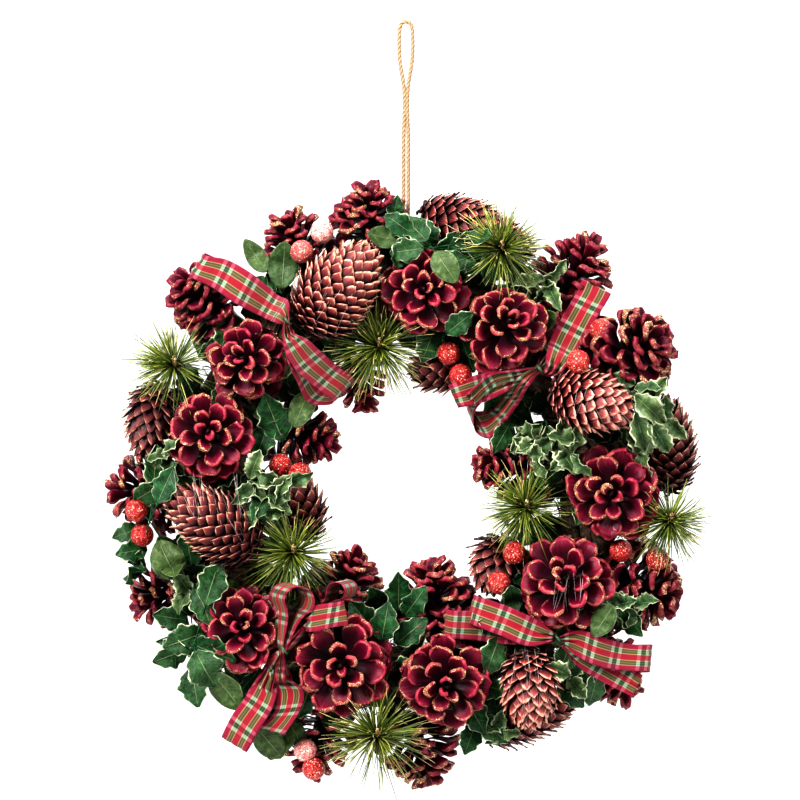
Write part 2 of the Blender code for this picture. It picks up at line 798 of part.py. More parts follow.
def standing_limb(path, halves, depths):
    """Round loop with its width running towards the viewer."""
    centres = [(x, depth, z) for (x, z), depth in zip(path, depths)]
    return strip(centres, halves, np.array([0.25, -1.0, 0.0]))


def bow(spot, room):
    """Knot and limbs as overlapping closed shapes, the knot as far forward as they need."""
    (x, z), loops, tails, standing = spot
    flat_knot = np.array([x, z], float)
    lying = [flat_path(flat_knot, end, room) for end in loops]
    single = [flat_path(flat_knot, end, room + 2.5) for end in tails]
    upright = [standing_path(flat_knot, loop, room) for loop in standing]
    knot = np.array([x, seat_ball(x, z, 5.0) - room, z])
    for path, halves, depths in lying + single:
        knot[1] = min(knot[1], depths[0])
    shapes = [ball((5.5, 4.5, 5.0), knot), peg(knot)]
    for path, halves, depths in lying + single:
        depths[0] = knot[1] + 1.0
    for path, halves, depths in upright:
        depths[[0, -1]] = knot[1]
    shapes += [flat_limb(*limb, False) for limb in single]
    shapes += [flat_limb(*limb, True) for limb in lying]
    shapes += [standing_limb(*limb) for limb in upright]
    return shapes


def build_bows():
    """Each bow raised in small steps until all of it is clear."""
    for number, spot in enumerate(BOWS, 1):
        for step in range(12):
            shapes = bow(spot, 0.75 * step)
            if not any(blocked(points, faces) for points, faces in shapes):
                break
        points, faces = fuse(f"ribbon_bow_{number}", shapes, TARTAN)
        mesh_object(f"ribbon_bow_{number}", points, faces, TARTAN)
        place(points, faces)


# Needle sprays

def bend_clear(root, way, length):
    """Needle's tip, bent towards the viewer until nothing is in its way."""
    toward = np.array([0.0, -1.0, 0.0])
    for step in range(12):
        bent = way + toward * 0.25 * step
        bent = bent / np.linalg.norm(bent)
        if first_hit(root, bent, length + 1.5) > length + 1:
            return root + bent * length
    return root + toward * 4.0


def needle_spray(x, z, spread, forward):
    """Slim twig whose every facet but the hindmost is drawn out to a needle.

    Its hindmost corner stays at what carries it, however far forward the twig is brought.
    """
    shape = bmesh.new()
    bmesh.ops.create_icosphere(shape, subdivisions=2, radius=1.0)
    core = np.array([point.co for point in shape.verts])
    facets = [tuple(point.index for point in face.verts) for face in shape.faces]
    shape.free()
    middle = np.array([x, min(seat_ball(x, z, 4.0) - 2.0, -34.0) - forward, z])
    way = way_back(middle, 60.0)
    points = list(core * (3.0, 6.0, 3.0) + middle)
    points[int(np.argmax(core @ way))] = middle + way * (first_hit(middle, way) - 0.6)
    faces = []
    for facet in facets:
        root = sum(points[corner] for corner in facet) / 3
        way = core[list(facet)].mean(axis=0)
        if way[1] > 0.45:
            faces.append(facet)
            continue
        way = way * (1.0, 0.6, 1.0) + (0.0, -0.18, 0.0)
        length = spread / 2 * (1.0 if way[1] > -0.55 else 0.7)
        tip = len(points)
        points.append(bend_clear(root, way / np.linalg.norm(way), length))
        a, b, c = facet
        faces += [(a, b, tip), (b, c, tip), (c, a, tip)]
    return np.array(points), faces


def build_needle_sprays():
    """Sprays pushed in last, between the cones."""
    for number, (x, z, spread) in enumerate(NEEDLE_SPRAYS, 1):
        for step in range(40):
            points, faces = needle_spray(x, z, spread, 0.5 * step)
            if not blocked(points, faces):
                break
        mesh_object(f"needle_spray_{number}", points, faces, NEEDLE)
        place(points, faces)


build_ring()
build_twine()
build_pine_cones()
build_spruce_cones()
build_sprigs()
build_bows()
build_needle_sprays()
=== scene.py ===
import json
import math

import bpy
import numpy as np
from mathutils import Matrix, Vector
from mathutils.bvhtree import BVHTree

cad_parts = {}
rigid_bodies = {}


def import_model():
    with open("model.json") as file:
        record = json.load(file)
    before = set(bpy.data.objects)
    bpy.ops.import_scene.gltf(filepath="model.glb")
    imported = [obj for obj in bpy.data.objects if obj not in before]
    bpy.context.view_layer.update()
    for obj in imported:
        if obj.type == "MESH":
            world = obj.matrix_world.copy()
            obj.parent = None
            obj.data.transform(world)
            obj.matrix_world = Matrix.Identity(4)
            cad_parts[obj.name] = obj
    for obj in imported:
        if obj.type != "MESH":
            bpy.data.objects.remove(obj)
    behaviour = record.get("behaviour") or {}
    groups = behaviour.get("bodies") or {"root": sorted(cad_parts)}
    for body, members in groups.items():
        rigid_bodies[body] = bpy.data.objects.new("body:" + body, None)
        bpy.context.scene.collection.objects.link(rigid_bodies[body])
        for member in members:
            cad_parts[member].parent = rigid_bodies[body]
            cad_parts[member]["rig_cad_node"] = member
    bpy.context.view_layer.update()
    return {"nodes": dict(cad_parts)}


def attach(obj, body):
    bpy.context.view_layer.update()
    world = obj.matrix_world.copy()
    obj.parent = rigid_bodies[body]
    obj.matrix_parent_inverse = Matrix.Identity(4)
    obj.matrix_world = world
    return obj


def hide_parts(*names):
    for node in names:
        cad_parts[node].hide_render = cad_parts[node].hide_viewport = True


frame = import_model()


# ---- Studio -------------------------------------------------------------------------------------
# The wreath hangs clear of any wall in front of a white surround, over a pale floor. The camera
# stands far off, level with it, and two soft boxes light it from the front, the left one stronger.

MM = 0.001
RING_CENTRE = np.array((-2.4, 0.0, -280.0))

studio = bpy.context.scene
studio.view_settings.view_transform = "Standard"
studio.view_settings.look = "High Contrast"

camera = bpy.data.objects.new("camera", bpy.data.cameras.new("camera"))
camera.location = (-3.6 * MM, -2.42, -227.8 * MM)
camera.rotation_euler = (math.pi / 2, 0, 0)
camera.data.lens = 180.0
camera.data.sensor_width = 36.0
camera.data.clip_end = 30.0
studio.collection.objects.link(camera)
studio.camera = camera


def add(tree, kind, inputs=None, **options):
    """Adds one shader node: options are its own settings, inputs are linked or set by name."""
    made = tree.nodes.new("ShaderNode" + kind)
    for name, value in options.items():
        setattr(made, name, value)
    for name, value in (inputs or {}).items():
        if isinstance(value, bpy.types.NodeSocket):
            tree.links.new(value, made.inputs[name])
        else:
            made.inputs[name].default_value = value
    return made


world = bpy.data.worlds.new("white_surround")
world.use_nodes = True
studio.world = world
sky = world.node_tree
facing = add(sky, "SeparateXYZ", {0: add(sky, "TexCoord").outputs["Generated"]})
glow = add(sky, "MapRange", {"Value": facing.outputs["Y"], "From Min": -0.3, "From Max": 0.4,
                             "To Min": 0.13, "To Max": 1.05})
sky.links.new(glow.outputs[0], sky.nodes["Background"].inputs["Strength"])
sky.nodes["Background"].inputs["Color"].default_value = (1, 1, 1, 1)

for name, place, size, watts in (
        ("left_box", (-1.3, -1.7, 0.85), 0.7, 105.0),
        ("right_box", (1.5, -1.5, 0.25), 0.9, 26.0),
        ("top_box", (0.1, -0.6, 1.3), 0.8, 30.0),
        ("back_box", (0.4, 2.2, 0.6), 1.4, 12.0)):
    lamp = bpy.data.objects.new(name, bpy.data.lights.new(name, "AREA"))
    lamp.data.size = size
    lamp.data.energy = watts
    lamp.location = place
    lamp.rotation_euler = (Vector((-0.0024, 0, -0.28)) - lamp.location).to_track_quat("-Z", "Y").to_euler()
    studio.collection.objects.link(lamp)

floor_mesh = bpy.data.meshes.new("floor")
floor_mesh.from_pydata([(-3, -3, -1.4), (3, -3, -1.4), (3, 3, -1.4), (-3, 3, -1.4)], [], [(0, 1, 2, 3)])
floor = bpy.data.objects.new("floor", floor_mesh)
studio.collection.objects.link(floor)
floor_paint = bpy.data.materials.new("pale_floor")
floor_paint.use_nodes = True
floor_paint.node_tree.nodes["Principled BSDF"].inputs["Base Color"].default_value = (0.8, 0.8, 0.79, 1)
floor_paint.node_tree.nodes["Principled BSDF"].inputs["Roughness"].default_value = 0.9
floor_mesh.materials.append(floor_paint)


# ---- Twine loop ---------------------------------------------------------------------------------
# Jute twine of three twisted strands, about 2.2 mm thick and hairy. It goes once round the top of
# the ring, up to an eye for the nail and back down, and is bound with a few turns above the ring.

TWINE_DIAMETER = 2.2


def grid_faces(rows, columns, closed_rows=False):
    """Quads over a grid of rows of closed rings, with outward faces, and a cap on each open end."""
    i, j = np.meshgrid(np.arange(rows if closed_rows else rows - 1), np.arange(columns), indexing="ij")
    k = (j + 1) % columns
    n = (i + 1) % rows
    quads = np.stack([i * columns + j, n * columns + j, n * columns + k, i * columns + k], -1)
    faces = quads.reshape(-1, 4).tolist()
    if not closed_rows:
        faces.append(list(range(columns)))
        faces.append(list(range(rows * columns - 1, (rows - 1) * columns - 1, -1)))
    return faces


def unit(vectors):
    """Vectors divided by their lengths."""
    return vectors / np.maximum(np.linalg.norm(vectors, axis=-1, keepdims=True), 1e-9)


def tube(path, outward, radius, sides, closed=False):
    """Rings round a path: path + radius * (side * cos a + up * sin a), up turned to outward.

    path and outward are (..., n, 3), and radius is a number or (..., n, sides).
    """
    if closed:
        run = np.roll(path, -1, axis=-2) - np.roll(path, 1, axis=-2)
    else:
        run = np.gradient(path, axis=-2)
    side = unit(np.cross(run, outward))
    up = unit(np.cross(side, run))
    angle = 2 * np.pi * np.arange(sides) / sides
    reach = np.broadcast_to(np.asarray(radius, float), (*path.shape[:-1], sides))[..., None]
    spokes = side[..., None, :] * np.cos(angle)[:, None] + up[..., None, :] * np.sin(angle)[:, None]
    return path[..., None, :] + reach * spokes


def curve_through(knots, count, closed=False):
    """Smooth cubic curve through knots, at even steps of length, by Hermite blending."""
    knots = np.array(knots, float)
    if closed:
        knots = np.concatenate([knots[-2:], knots, knots[:3]])
    steps = np.linalg.norm(np.diff(knots, axis=0), axis=1)
    at = np.concatenate([[0.0], np.cumsum(steps)])
    slopes = np.gradient(knots, at, axis=0)
    first, last = (at[2], at[-3]) if closed else (at[0], at[-1])
    where = np.linspace(first, last, count, endpoint=not closed)
    i = np.clip(np.searchsorted(at, where, side="right") - 1, 0, len(at) - 2)
    span = (at[i + 1] - at[i])[:, None]
    t = (where[:, None] - at[i][:, None]) / span
    return ((2 * t**3 - 3 * t**2 + 1) * knots[i] + (t**3 - 2 * t**2 + t) * span * slopes[i]
            + (3 * t**2 - 2 * t**3) * knots[i + 1] + (t**3 - t**2) * span * slopes[i + 1])


def layer(shape, across, along, third):
    """Per-point triples (across, along, third), each spread over an array of that shape."""
    return np.stack([np.broadcast_to(value, shape) for value in (across, along, third)], -1)


def part(points, faces, place, kind):
    """Flat lists for one or many like shapes: points (..., 3) hold whole shapes of faces each."""
    flat = points.reshape(-1, 3)
    size = max(max(face) for face in faces) + 1
    count = len(flat) // size
    every = [[corner + size * copy for corner in face] for copy in range(count) for face in faces]
    return flat, every, place.reshape(-1, 3), kind.reshape(-1, 3)


def piece(name, parts, finish, replaced=()):
    """One mesh from parts in mm about the ring's centre, with its place and kind layers."""
    points = np.concatenate([made[0] for made in parts])
    faces = []
    start = 0
    for made in parts:
        faces += [[corner + start for corner in face] for face in made[1]] if start else made[1]
        start += len(made[0])
    mesh = bpy.data.meshes.new(name)
    mesh.from_pydata(((points + RING_CENTRE) * MM).tolist(), [], faces)
    for number, layer_name in ((2, "place"), (3, "kind")):
        values = np.concatenate([made[number] for made in parts]).astype(np.float32)
        mesh.attributes.new(layer_name, "FLOAT_VECTOR", "POINT").data.foreach_set("vector", values.ravel())
    mesh.polygons.foreach_set("use_smooth", [True] * len(mesh.polygons))
    mesh.materials.append(finish)
    made = bpy.data.objects.new(name, mesh)
    studio.collection.objects.link(made)
    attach(made, "root")
    if replaced:
        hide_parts(*replaced)
    return made


def paint(name):
    """Empty finish: its material, node tree, shader, and the parts of its two layers."""
    made = bpy.data.materials.new(name)
    made.use_nodes = True
    tree = made.node_tree
    place = add(tree, "SeparateXYZ", {0: add(tree, "Attribute", attribute_name="place").outputs["Vector"]})
    kind = add(tree, "SeparateXYZ", {0: add(tree, "Attribute", attribute_name="kind").outputs["Vector"]})
    return made, tree, tree.nodes["Principled BSDF"], place.outputs, kind.outputs


def math_node(tree, operation, a, b=0.0, c=0.0):
    """One sum on two or three values."""
    return add(tree, "Math", {0: a, 1: b, 2: c}, operation=operation, use_clamp=False).outputs[0]


def spread(tree, value, low, high, out_low=0.0, out_high=1.0):
    """Smooth step of a value from low to high."""
    return add(tree, "MapRange", {"Value": value, "From Min": low, "From Max": high, "To Min": out_low,
                                  "To Max": out_high}, interpolation_type="SMOOTHSTEP").outputs[0]


def blend(tree, factor, a, b):
    """Colour between a and b."""
    made = add(tree, "Mix", {"Factor": factor}, data_type="RGBA")
    for socket, value in ((made.inputs[6], a), (made.inputs[7], b)):
        if isinstance(value, bpy.types.NodeSocket):
            tree.links.new(value, socket)
        else:
            socket.default_value = (*value, 1.0)
    return made.outputs[2]


def ramp(tree, factor, *stops):
    """Colour ramp from (position, colour) stops."""
    made = add(tree, "ValToRGB", {"Fac": factor})
    bar = made.color_ramp
    while len(bar.elements) < len(stops):
        bar.elements.new(1.0)
    for element, (position, colour) in zip(bar.elements, stops):
        element.position = position
        element.color = (*colour, 1.0)
    return made.outputs["Color"]


def noise(tree, vector, scale, detail=3.0, roughness=0.6):
    """Noise value over a vector."""
    return add(tree, "TexNoise", {"Vector": vector, "Scale": scale, "Detail": detail,
                                  "Roughness": roughness}).outputs["Fac"]


def join(tree, x, y, z):
    """Vector from three values."""
    return add(tree, "CombineXYZ", {0: x, 1: y, 2: z}).outputs[0]


def grains(tree, size):
    """Grains of a size in metres on Object coordinates: a random colour and the distance in each."""
    made = add(tree, "TexVoronoi", {"Vector": add(tree, "TexCoord").outputs["Object"], "Scale": 1 / size})
    return made.outputs["Color"], made.outputs["Distance"]


def relief(tree, shader, height, depth, strength=1.0):
    """Bump of a depth in metres on a shader."""
    made = add(tree, "Bump", {"Height": height, "Distance": depth, "Strength": strength})
    tree.links.new(made.outputs[0], shader.inputs["Normal"])


def finish_with(tree, shader, **values):
    """Sets or links a shader's inputs, named with underscores."""
    for name, value in values.items():
        socket = shader.inputs[name.replace("_", " ")]
        if isinstance(value, bpy.types.NodeSocket):
            tree.links.new(value, socket)
        else:
            socket.default_value = value


JUTE, tree, shader, place, kind = paint("jute_twine")
# Painted shade: a sine round each strand darkens a band of it nearly to black, for the shade between the twisted
# strands.
strands = math_node(tree, "SINE", math_node(tree, "MULTIPLY", place["X"], 3.0))
fibre = noise(tree, join(tree, math_node(tree, "MULTIPLY", place["X"], 3.0), math_node(tree, "MULTIPLY", place["Y"], 90.0), 0.0), 4.0)
jute = blend(tree, spread(tree, strands, -1.0, 0.6), (0.09, 0.045, 0.02), (0.34, 0.21, 0.11))
finish_with(tree, shader, Base_Color=blend(tree, spread(tree, fibre, 0.42, 0.75), jute, (0.50, 0.36, 0.23)),
            Roughness=0.9, Sheen_Weight=0.25)
relief(tree, shader, fibre, 0.0002)

ring_top = 115.0 + (21.0 + TWINE_DIAMETER / 2 + 0.5) / math.cos(math.pi / 13)
wrap_angle = 2 * np.pi * np.arange(14) / 13
wrap = np.stack([2.4 - 2.4 + 4.6 * np.arange(14) / 13, -(ring_top - 115.0) * np.sin(wrap_angle),
                 115.0 + (ring_top - 115.0) * np.cos(wrap_angle)], 1)
crown = 280.0 + TWINE_DIAMETER / 2
eye = 3.6
turn = np.pi * np.arange(7) / 6
strand = TWINE_DIAMETER / 2 + 0.3
route = np.concatenate([
    wrap,
    [(2.4 + strand, 0.0, ring_top + rise) for rise in (6, 36, 70)],
    [(2.4 + strand, 0.0, crown - 38), (2.4 + eye, 0.0, crown - 24), (2.4 + eye + 0.4, 0.0, crown - eye - 6)],
    np.stack([2.4 + eye * np.cos(turn), 0 * turn, crown - eye + eye * np.sin(turn)], 1),
    [(2.4 - eye - 0.4, 0.0, crown - eye - 6), (2.4 - eye, 0.0, crown - 24), (2.4 - strand, 0.0, crown - 38)],
    [(2.4 - strand, 0.0, ring_top + rise) for rise in (70, 36, 4)],
])
twine_path = curve_through(route, 700)
twine_length = float(np.linalg.norm(np.diff(twine_path, axis=0), axis=1).sum())
travel = np.linspace(0.0, twine_length, 700)
sides = 18
lay = 2 * np.pi * np.arange(sides)[None, :] / sides + 2 * np.pi * travel[:, None] / 9.0
thickness = TWINE_DIAMETER / 2 * (0.90 + 0.24 * np.abs(np.sin(1.5 * lay)))
twist = tube(twine_path, np.array((0.03, -1.0, 0.05)) + 0 * twine_path, thickness, sides)
twine = piece("jute_twine", [part(twist, grid_faces(700, sides), layer(lay.shape, lay, travel[:, None] / 100, 0),
                                  layer(lay.shape, 0, 0, 0))], JUTE, ["twine_loop"])

chance = np.random.default_rng(3)
hairs = 420
at = chance.integers(5, 690, hairs)
swing = chance.uniform(0, 2 * np.pi, hairs)
run = unit(twine_path[at + 1] - twine_path[at])
out = unit(np.cross(run, np.stack([np.cos(swing), np.sin(swing), 0.3 + 0 * swing], 1)))
lean = run * chance.choice([-1, 1], hairs)[:, None] * chance.uniform(0.6, 1.6, hairs)[:, None]
reach = chance.uniform(0.8, 2.6, hairs)[:, None]
step = np.linspace(0, 1, 4)[None, :, None]
hair_path = (twine_path[at] + out * 0.85)[:, None] + (out * 0.5 + lean)[:, None] * reach[:, None] * step \
    + out[:, None] * reach[:, None] * 0.25 * step ** 2
hair = tube(hair_path, np.cross(run, out)[:, None] + 0 * hair_path, np.linspace(0.07, 0.03, 4)[None, :, None], 3)
twine_hairs = piece("twine_hairs", [part(hair, grid_faces(4, 3), layer(hair.shape[:-1], 0.5, 0.2, 0),
                                         layer(hair.shape[:-1], 0, 0, 0))], JUTE)

bind_turn = np.linspace(0, 2 * np.pi * 3.6, 120)
bind_path = np.stack([2.4 + (strand + 2.1) * np.cos(bind_turn), 2.3 * np.sin(bind_turn),
                      ring_top + 5.5 + 1.9 * bind_turn / (2 * np.pi)], 1)
bind_lay = 2 * np.pi * np.arange(12)[None, :] / 12 + 2 * np.pi * np.linspace(0, 9, 120)[:, None]
bind = tube(bind_path, np.array((0, 0, 1.0)) + 0 * bind_path, 0.85 * (0.82 + 0.18 * np.abs(np.sin(1.5 * bind_lay))), 12)
twine_knot = piece("twine_binding", [part(bind, grid_faces(120, 12), layer(bind_lay.shape, bind_lay, np.linspace(0, 0.6, 120)[:, None], 0),
                                          layer(bind_lay.shape, 0, 0, 0))], JUTE)


# ---- Vine ring ----------------------------------------------------------------------------------
# The base is a ring of dried vines twisted round each other, dark brown with grey, stringy bark.
# Thinner tendrils are wound across them, and green wire ties the trimmings on.

RING_RADIUS = 115.0


def round_ring(along, reach, lift):
    """Points at an angle round the ring, reach out from its tube's centre line and lift forwards."""
    away = RING_RADIUS + reach
    return np.stack([away * np.cos(along), 0 * away * along - lift, away * np.sin(along)], -1)


VINE, tree, shader, place, kind = paint("vine_bark")
bark = noise(tree, join(tree, math_node(tree, "MULTIPLY", place["X"], 14.0), math_node(tree, "MULTIPLY", place["Y"], 22.0), kind["X"]), 1.0, 5.0)
peel = noise(tree, join(tree, place["X"], math_node(tree, "MULTIPLY", place["Y"], 6.0), kind["X"]), 2.0)
brown = ramp(tree, bark, (0.30, (0.012, 0.007, 0.004)), (0.5, (0.07, 0.038, 0.02)), (0.72, (0.20, 0.12, 0.07)))
finish_with(tree, shader, Base_Color=blend(tree, spread(tree, peel, 0.5, 0.75), brown, (0.17, 0.125, 0.09)), Roughness=0.85)
relief(tree, shader, bark, 0.0009)

chance = np.random.default_rng(11)
steps = 220
along = 2 * np.pi * np.arange(steps) / steps
vines = []
for number in range(27):
    inner = number < 9
    depth = chance.uniform(8.0, 11.0) if inner else chance.uniform(15.0, 17.0)
    girth = chance.uniform(3.6, 5.0) if inner else chance.uniform(2.2, 3.5)
    pitch = chance.integers(3, 6)
    at = 2 * np.pi * number / (9 if inner else 18) + pitch * along + 0.35 * np.sin(3 * along + number)
    wander = depth + 0.9 * np.sin(5 * along + 2 * number)
    path = round_ring(along, wander * np.cos(at), wander * np.sin(at))
    outward = round_ring(along, np.cos(at), np.sin(at)) - round_ring(along, 0, 0)
    ripple = girth * (1 + 0.10 * np.sin(9 * along + number) + 0.07 * np.sin(31 * along + 3 * number))
    knots = 1 + 0.05 * np.sin(4 * 2 * np.pi * np.arange(8) / 8 + number)
    vine = tube(path, outward, ripple[:, None] * knots, 8, closed=True)
    around = np.cos(2 * np.pi * np.arange(8) / 8)
    vines.append(part(vine, grid_faces(steps, 8, True), layer((steps, 8), around, (np.sin(along) * 3 + np.cos(2 * along))[:, None], 0),
                      layer((steps, 8), number * 1.7, 0, 0)))
for number in range(5):
    begin = chance.uniform(0, 2 * np.pi)
    sweep = chance.uniform(1.6, 3.2)
    at = np.linspace(0, 1, 260)
    turns = 2 * np.pi * at * chance.uniform(4, 7)
    angle = begin + sweep * at
    path = round_ring(angle, 19.6 * np.cos(turns), 19.6 * np.sin(turns))
    outward = round_ring(angle, np.cos(turns), np.sin(turns)) - round_ring(angle, 0, 0)
    girth = 1.3 * np.sin(np.pi * np.clip(at * 1.04, 0.02, 0.98)) ** 0.3
    tendril = tube(path, outward, girth[:, None], 6)
    vines.append(part(tendril, grid_faces(260, 6), layer((260, 6), 0.3, at[:, None] * 9, 0), layer((260, 6), 30 + number, 0, 0)))
piece("vine_ring_bark", vines, VINE, ["vine_ring"])

WIRE, tree, shader, place, kind = paint("green_wire")
finish_with(tree, shader, Base_Color=blend(tree, noise(tree, join(tree, place["Y"], 0.0, 0.0), 60.0), (0.02, 0.05, 0.02), (0.05, 0.11, 0.05)),
            Roughness=0.45)
wires = []
for angle in np.radians((8, 42, 80, 118, 152, 187, 214, 248, 275, 303, 330)):
    turns = np.linspace(0, 2 * np.pi * 2.2, 150)
    place_on = angle + 0.012 * turns / (2 * np.pi)
    path = round_ring(place_on, 21.2 * np.cos(turns), 21.2 * np.sin(turns))
    outward = round_ring(place_on, np.cos(turns), np.sin(turns)) - round_ring(place_on, 0, 0)
    wire = tube(path, outward, 0.42, 6)
    wires.append(part(wire, grid_faces(150, 6), layer((150, 6), 0, turns[:, None], 0), layer((150, 6), 0, 0, 0)))
piece("binding_wire", wires, WIRE)


# ---- Open pine cones ----------------------------------------------------------------------------
# Real pine cones, dyed burgundy, their woody scales spread like petals. The rims of the upper
# scales are dipped in glue and gold glitter, and each cone is glued and wired to the ring.

FRONT_CONES = (
    (50, 36, 140, 80), (54, 38, 100, 82), (53, 38, 90, 85), (55, 40, 50, 72), (59, 40, 180, 82),
    (61, 42, 110, 75), (56, 40, 270, 85), (62, 42, 200, 85), (53, 38, 90, 80),
)
INNER_CONES = ((46, 46, 95, 25), (40, 46, 345, 20), (36, 46, 285, 10), (42, 46, 60, 25), (44, 48, 180, 15))
OUTER_CONES = (
    (44, 38, 94, 28), (42, 44, 115, 18), (48, 46, 145, 30), (50, 44, 30, 38), (44, 50, 57, 12), (46, 44, 185, 15),
    (40, 44, 202, 10), (42, 44, 253, 12), (44, 46, 290, 5), (48, 44, 338, 22), (42, 48, 312, 0),
)
GOLDEN = math.pi * (3 - math.sqrt(5))

PINE, tree, shader, place, kind = paint("burgundy_scale")
streak = noise(tree, join(tree, math_node(tree, "MULTIPLY", place["X"], 9.0), math_node(tree, "MULTIPLY", place["Y"], 1.6), math_node(tree, "MULTIPLY", kind["X"], 40.0)), 1.3, 4.0)
patch = noise(tree, add(tree, "TexCoord").outputs["Object"], 220.0, 3.0)
# Painted shade: each scale runs from near black at its root, through dark maroon, to the crimson dye near its tip, for
# the shade deep between the scales. The core, low on this run, is painted as dark, and cones with a high kind Z get a
# flatter run.
spread_out = math_node(tree, "SUBTRACT", 0.62, place["Y"])
depth = math_node(tree, "ADD", math_node(tree, "ADD", place["Y"], math_node(tree, "MULTIPLY", math_node(tree, "MULTIPLY", kind["Z"], 0.55), spread_out)),
                  math_node(tree, "MULTIPLY", math_node(tree, "SUBTRACT", streak, 0.5), 0.6))
flesh_and_root_shade = ramp(tree, depth, (0.35, (0.005, 0.0003, 0.001)), (0.64, (0.030, 0.001, 0.006)), (0.86, (0.095, 0.002, 0.014)),
             (1.0, (0.22, 0.006, 0.030)))
hue = blend(tree, math_node(tree, "MULTIPLY", kind["X"], 0.6), flesh_and_root_shade, blend(tree, 0.55, flesh_and_root_shade, (0.07, 0.002, 0.018)))
# Painted highlight: a pale pink band along the rim near each scale's tip, weaker on even cones, stands for the sheen of
# light on the edges.
ragged = math_node(tree, "ADD", place["Z"], math_node(tree, "MULTIPLY", math_node(tree, "SUBTRACT", patch, 0.5), 3.4))
edge = math_node(tree, "MULTIPLY", spread(tree, ragged, 0.6, 0.0), spread(tree, place["Y"], 0.45, 0.75))
hue_with_rim_highlight = blend(tree, math_node(tree, "MULTIPLY", edge, math_node(tree, "SUBTRACT", 0.45, math_node(tree, "MULTIPLY", kind["Z"], 0.2))), hue, (0.50, 0.060, 0.085))
# Gold glitter: each grain gets a random tone from dark orange through gold, and the brightest grains, near white, are
# painted glints of light on the glitter.
tint, away = grains(tree, 0.00042)
glint_grain = add(tree, "SeparateColor", {0: tint}).outputs[0]
gold = ramp(tree, glint_grain, (0.0, (0.15, 0.035, 0.018)), (0.5, (0.46, 0.20, 0.08)), (0.75, (0.92, 0.64, 0.30)), (1.0, (1.0, 0.94, 0.74)))
crust = spread(tree, math_node(tree, "SUBTRACT", math_node(tree, "MULTIPLY", kind["Y"], 1.2), ragged), 0.0, 0.4)
speckle = spread(tree, add(tree, "SeparateColor", {0: tint}).outputs[1], 0.30, 0.40, 0.12, 1.0)
bare = spread(tree, noise(tree, add(tree, "TexCoord").outputs["Object"], 120.0, 2.0), 0.44, 0.56, 0.10, 1.0)
crust = math_node(tree, "MULTIPLY", math_node(tree, "MULTIPLY", crust, math_node(tree, "MULTIPLY", speckle, bare)), spread(tree, place["Y"], 0.50, 0.72))
finish_with(tree, shader, Base_Color=blend(tree, crust, hue_with_rim_highlight, gold), Metallic=math_node(tree, "MULTIPLY", crust, 0.5),
            Roughness=spread(tree, crust, 0.0, 1.0, 0.40, 0.30), Specular_IOR_Level=0.22)
bump = math_node(tree, "ADD", math_node(tree, "MULTIPLY", streak, 0.5), math_node(tree, "MULTIPLY", crust, math_node(tree, "SUBTRACT", 1.0, away)))
relief(tree, shader, bump, 0.0006)


def smooth_step(value, low, high):
    """Smooth step from 0 at low to 1 at high."""
    t = np.clip((value - low) / (high - low), 0, 1)
    return t * t * (3 - 2 * t)


def shell(surface, thick):
    """Closed blade: surface (..., nu, nv, 3), then the same moved back along its normals by thick."""
    normal = unit(np.cross(np.gradient(surface, axis=-3), np.gradient(surface, axis=-2)))
    back = surface - normal * np.asarray(thick)[..., None]
    return np.concatenate([surface, back[..., ::-1, :]], axis=-2)


def both_sides(values):
    """Values (..., nu, nv) on the front of a shell, and again on its back."""
    return np.concatenate([values, values[..., ::-1]], axis=-1)


def direction(heading, rise):
    """Unit axis from a heading seen by the viewer and a rise towards them, in degrees."""
    flat = math.cos(math.radians(rise))
    return np.array([math.cos(math.radians(heading)) * flat, -math.sin(math.radians(rise)),
                     math.sin(math.radians(heading)) * flat])


def stand(points, base, axis, spin=0.0):
    """Points turned from +Z to an axis, spun about it and moved to a base."""
    side = unit(np.cross(axis, (0.0, 0.3, 1.0) if abs(axis[2]) < 0.9 else (1.0, 0.2, 0.0)))
    up = np.cross(axis, side)
    first = side * math.cos(spin) + up * math.sin(spin)
    second = np.cross(axis, first)
    return points[..., :1] * first + points[..., 1:2] * second + points[..., 2:] * axis + base


def node_points(node):
    """A frame node's points in mm about the ring's centre."""
    mesh = frame["nodes"][node].data
    points = np.empty(len(mesh.vertices) * 3, np.float32)
    mesh.vertices.foreach_get("co", points)
    return points.reshape(-1, 3).astype(float) / MM - RING_CENTRE


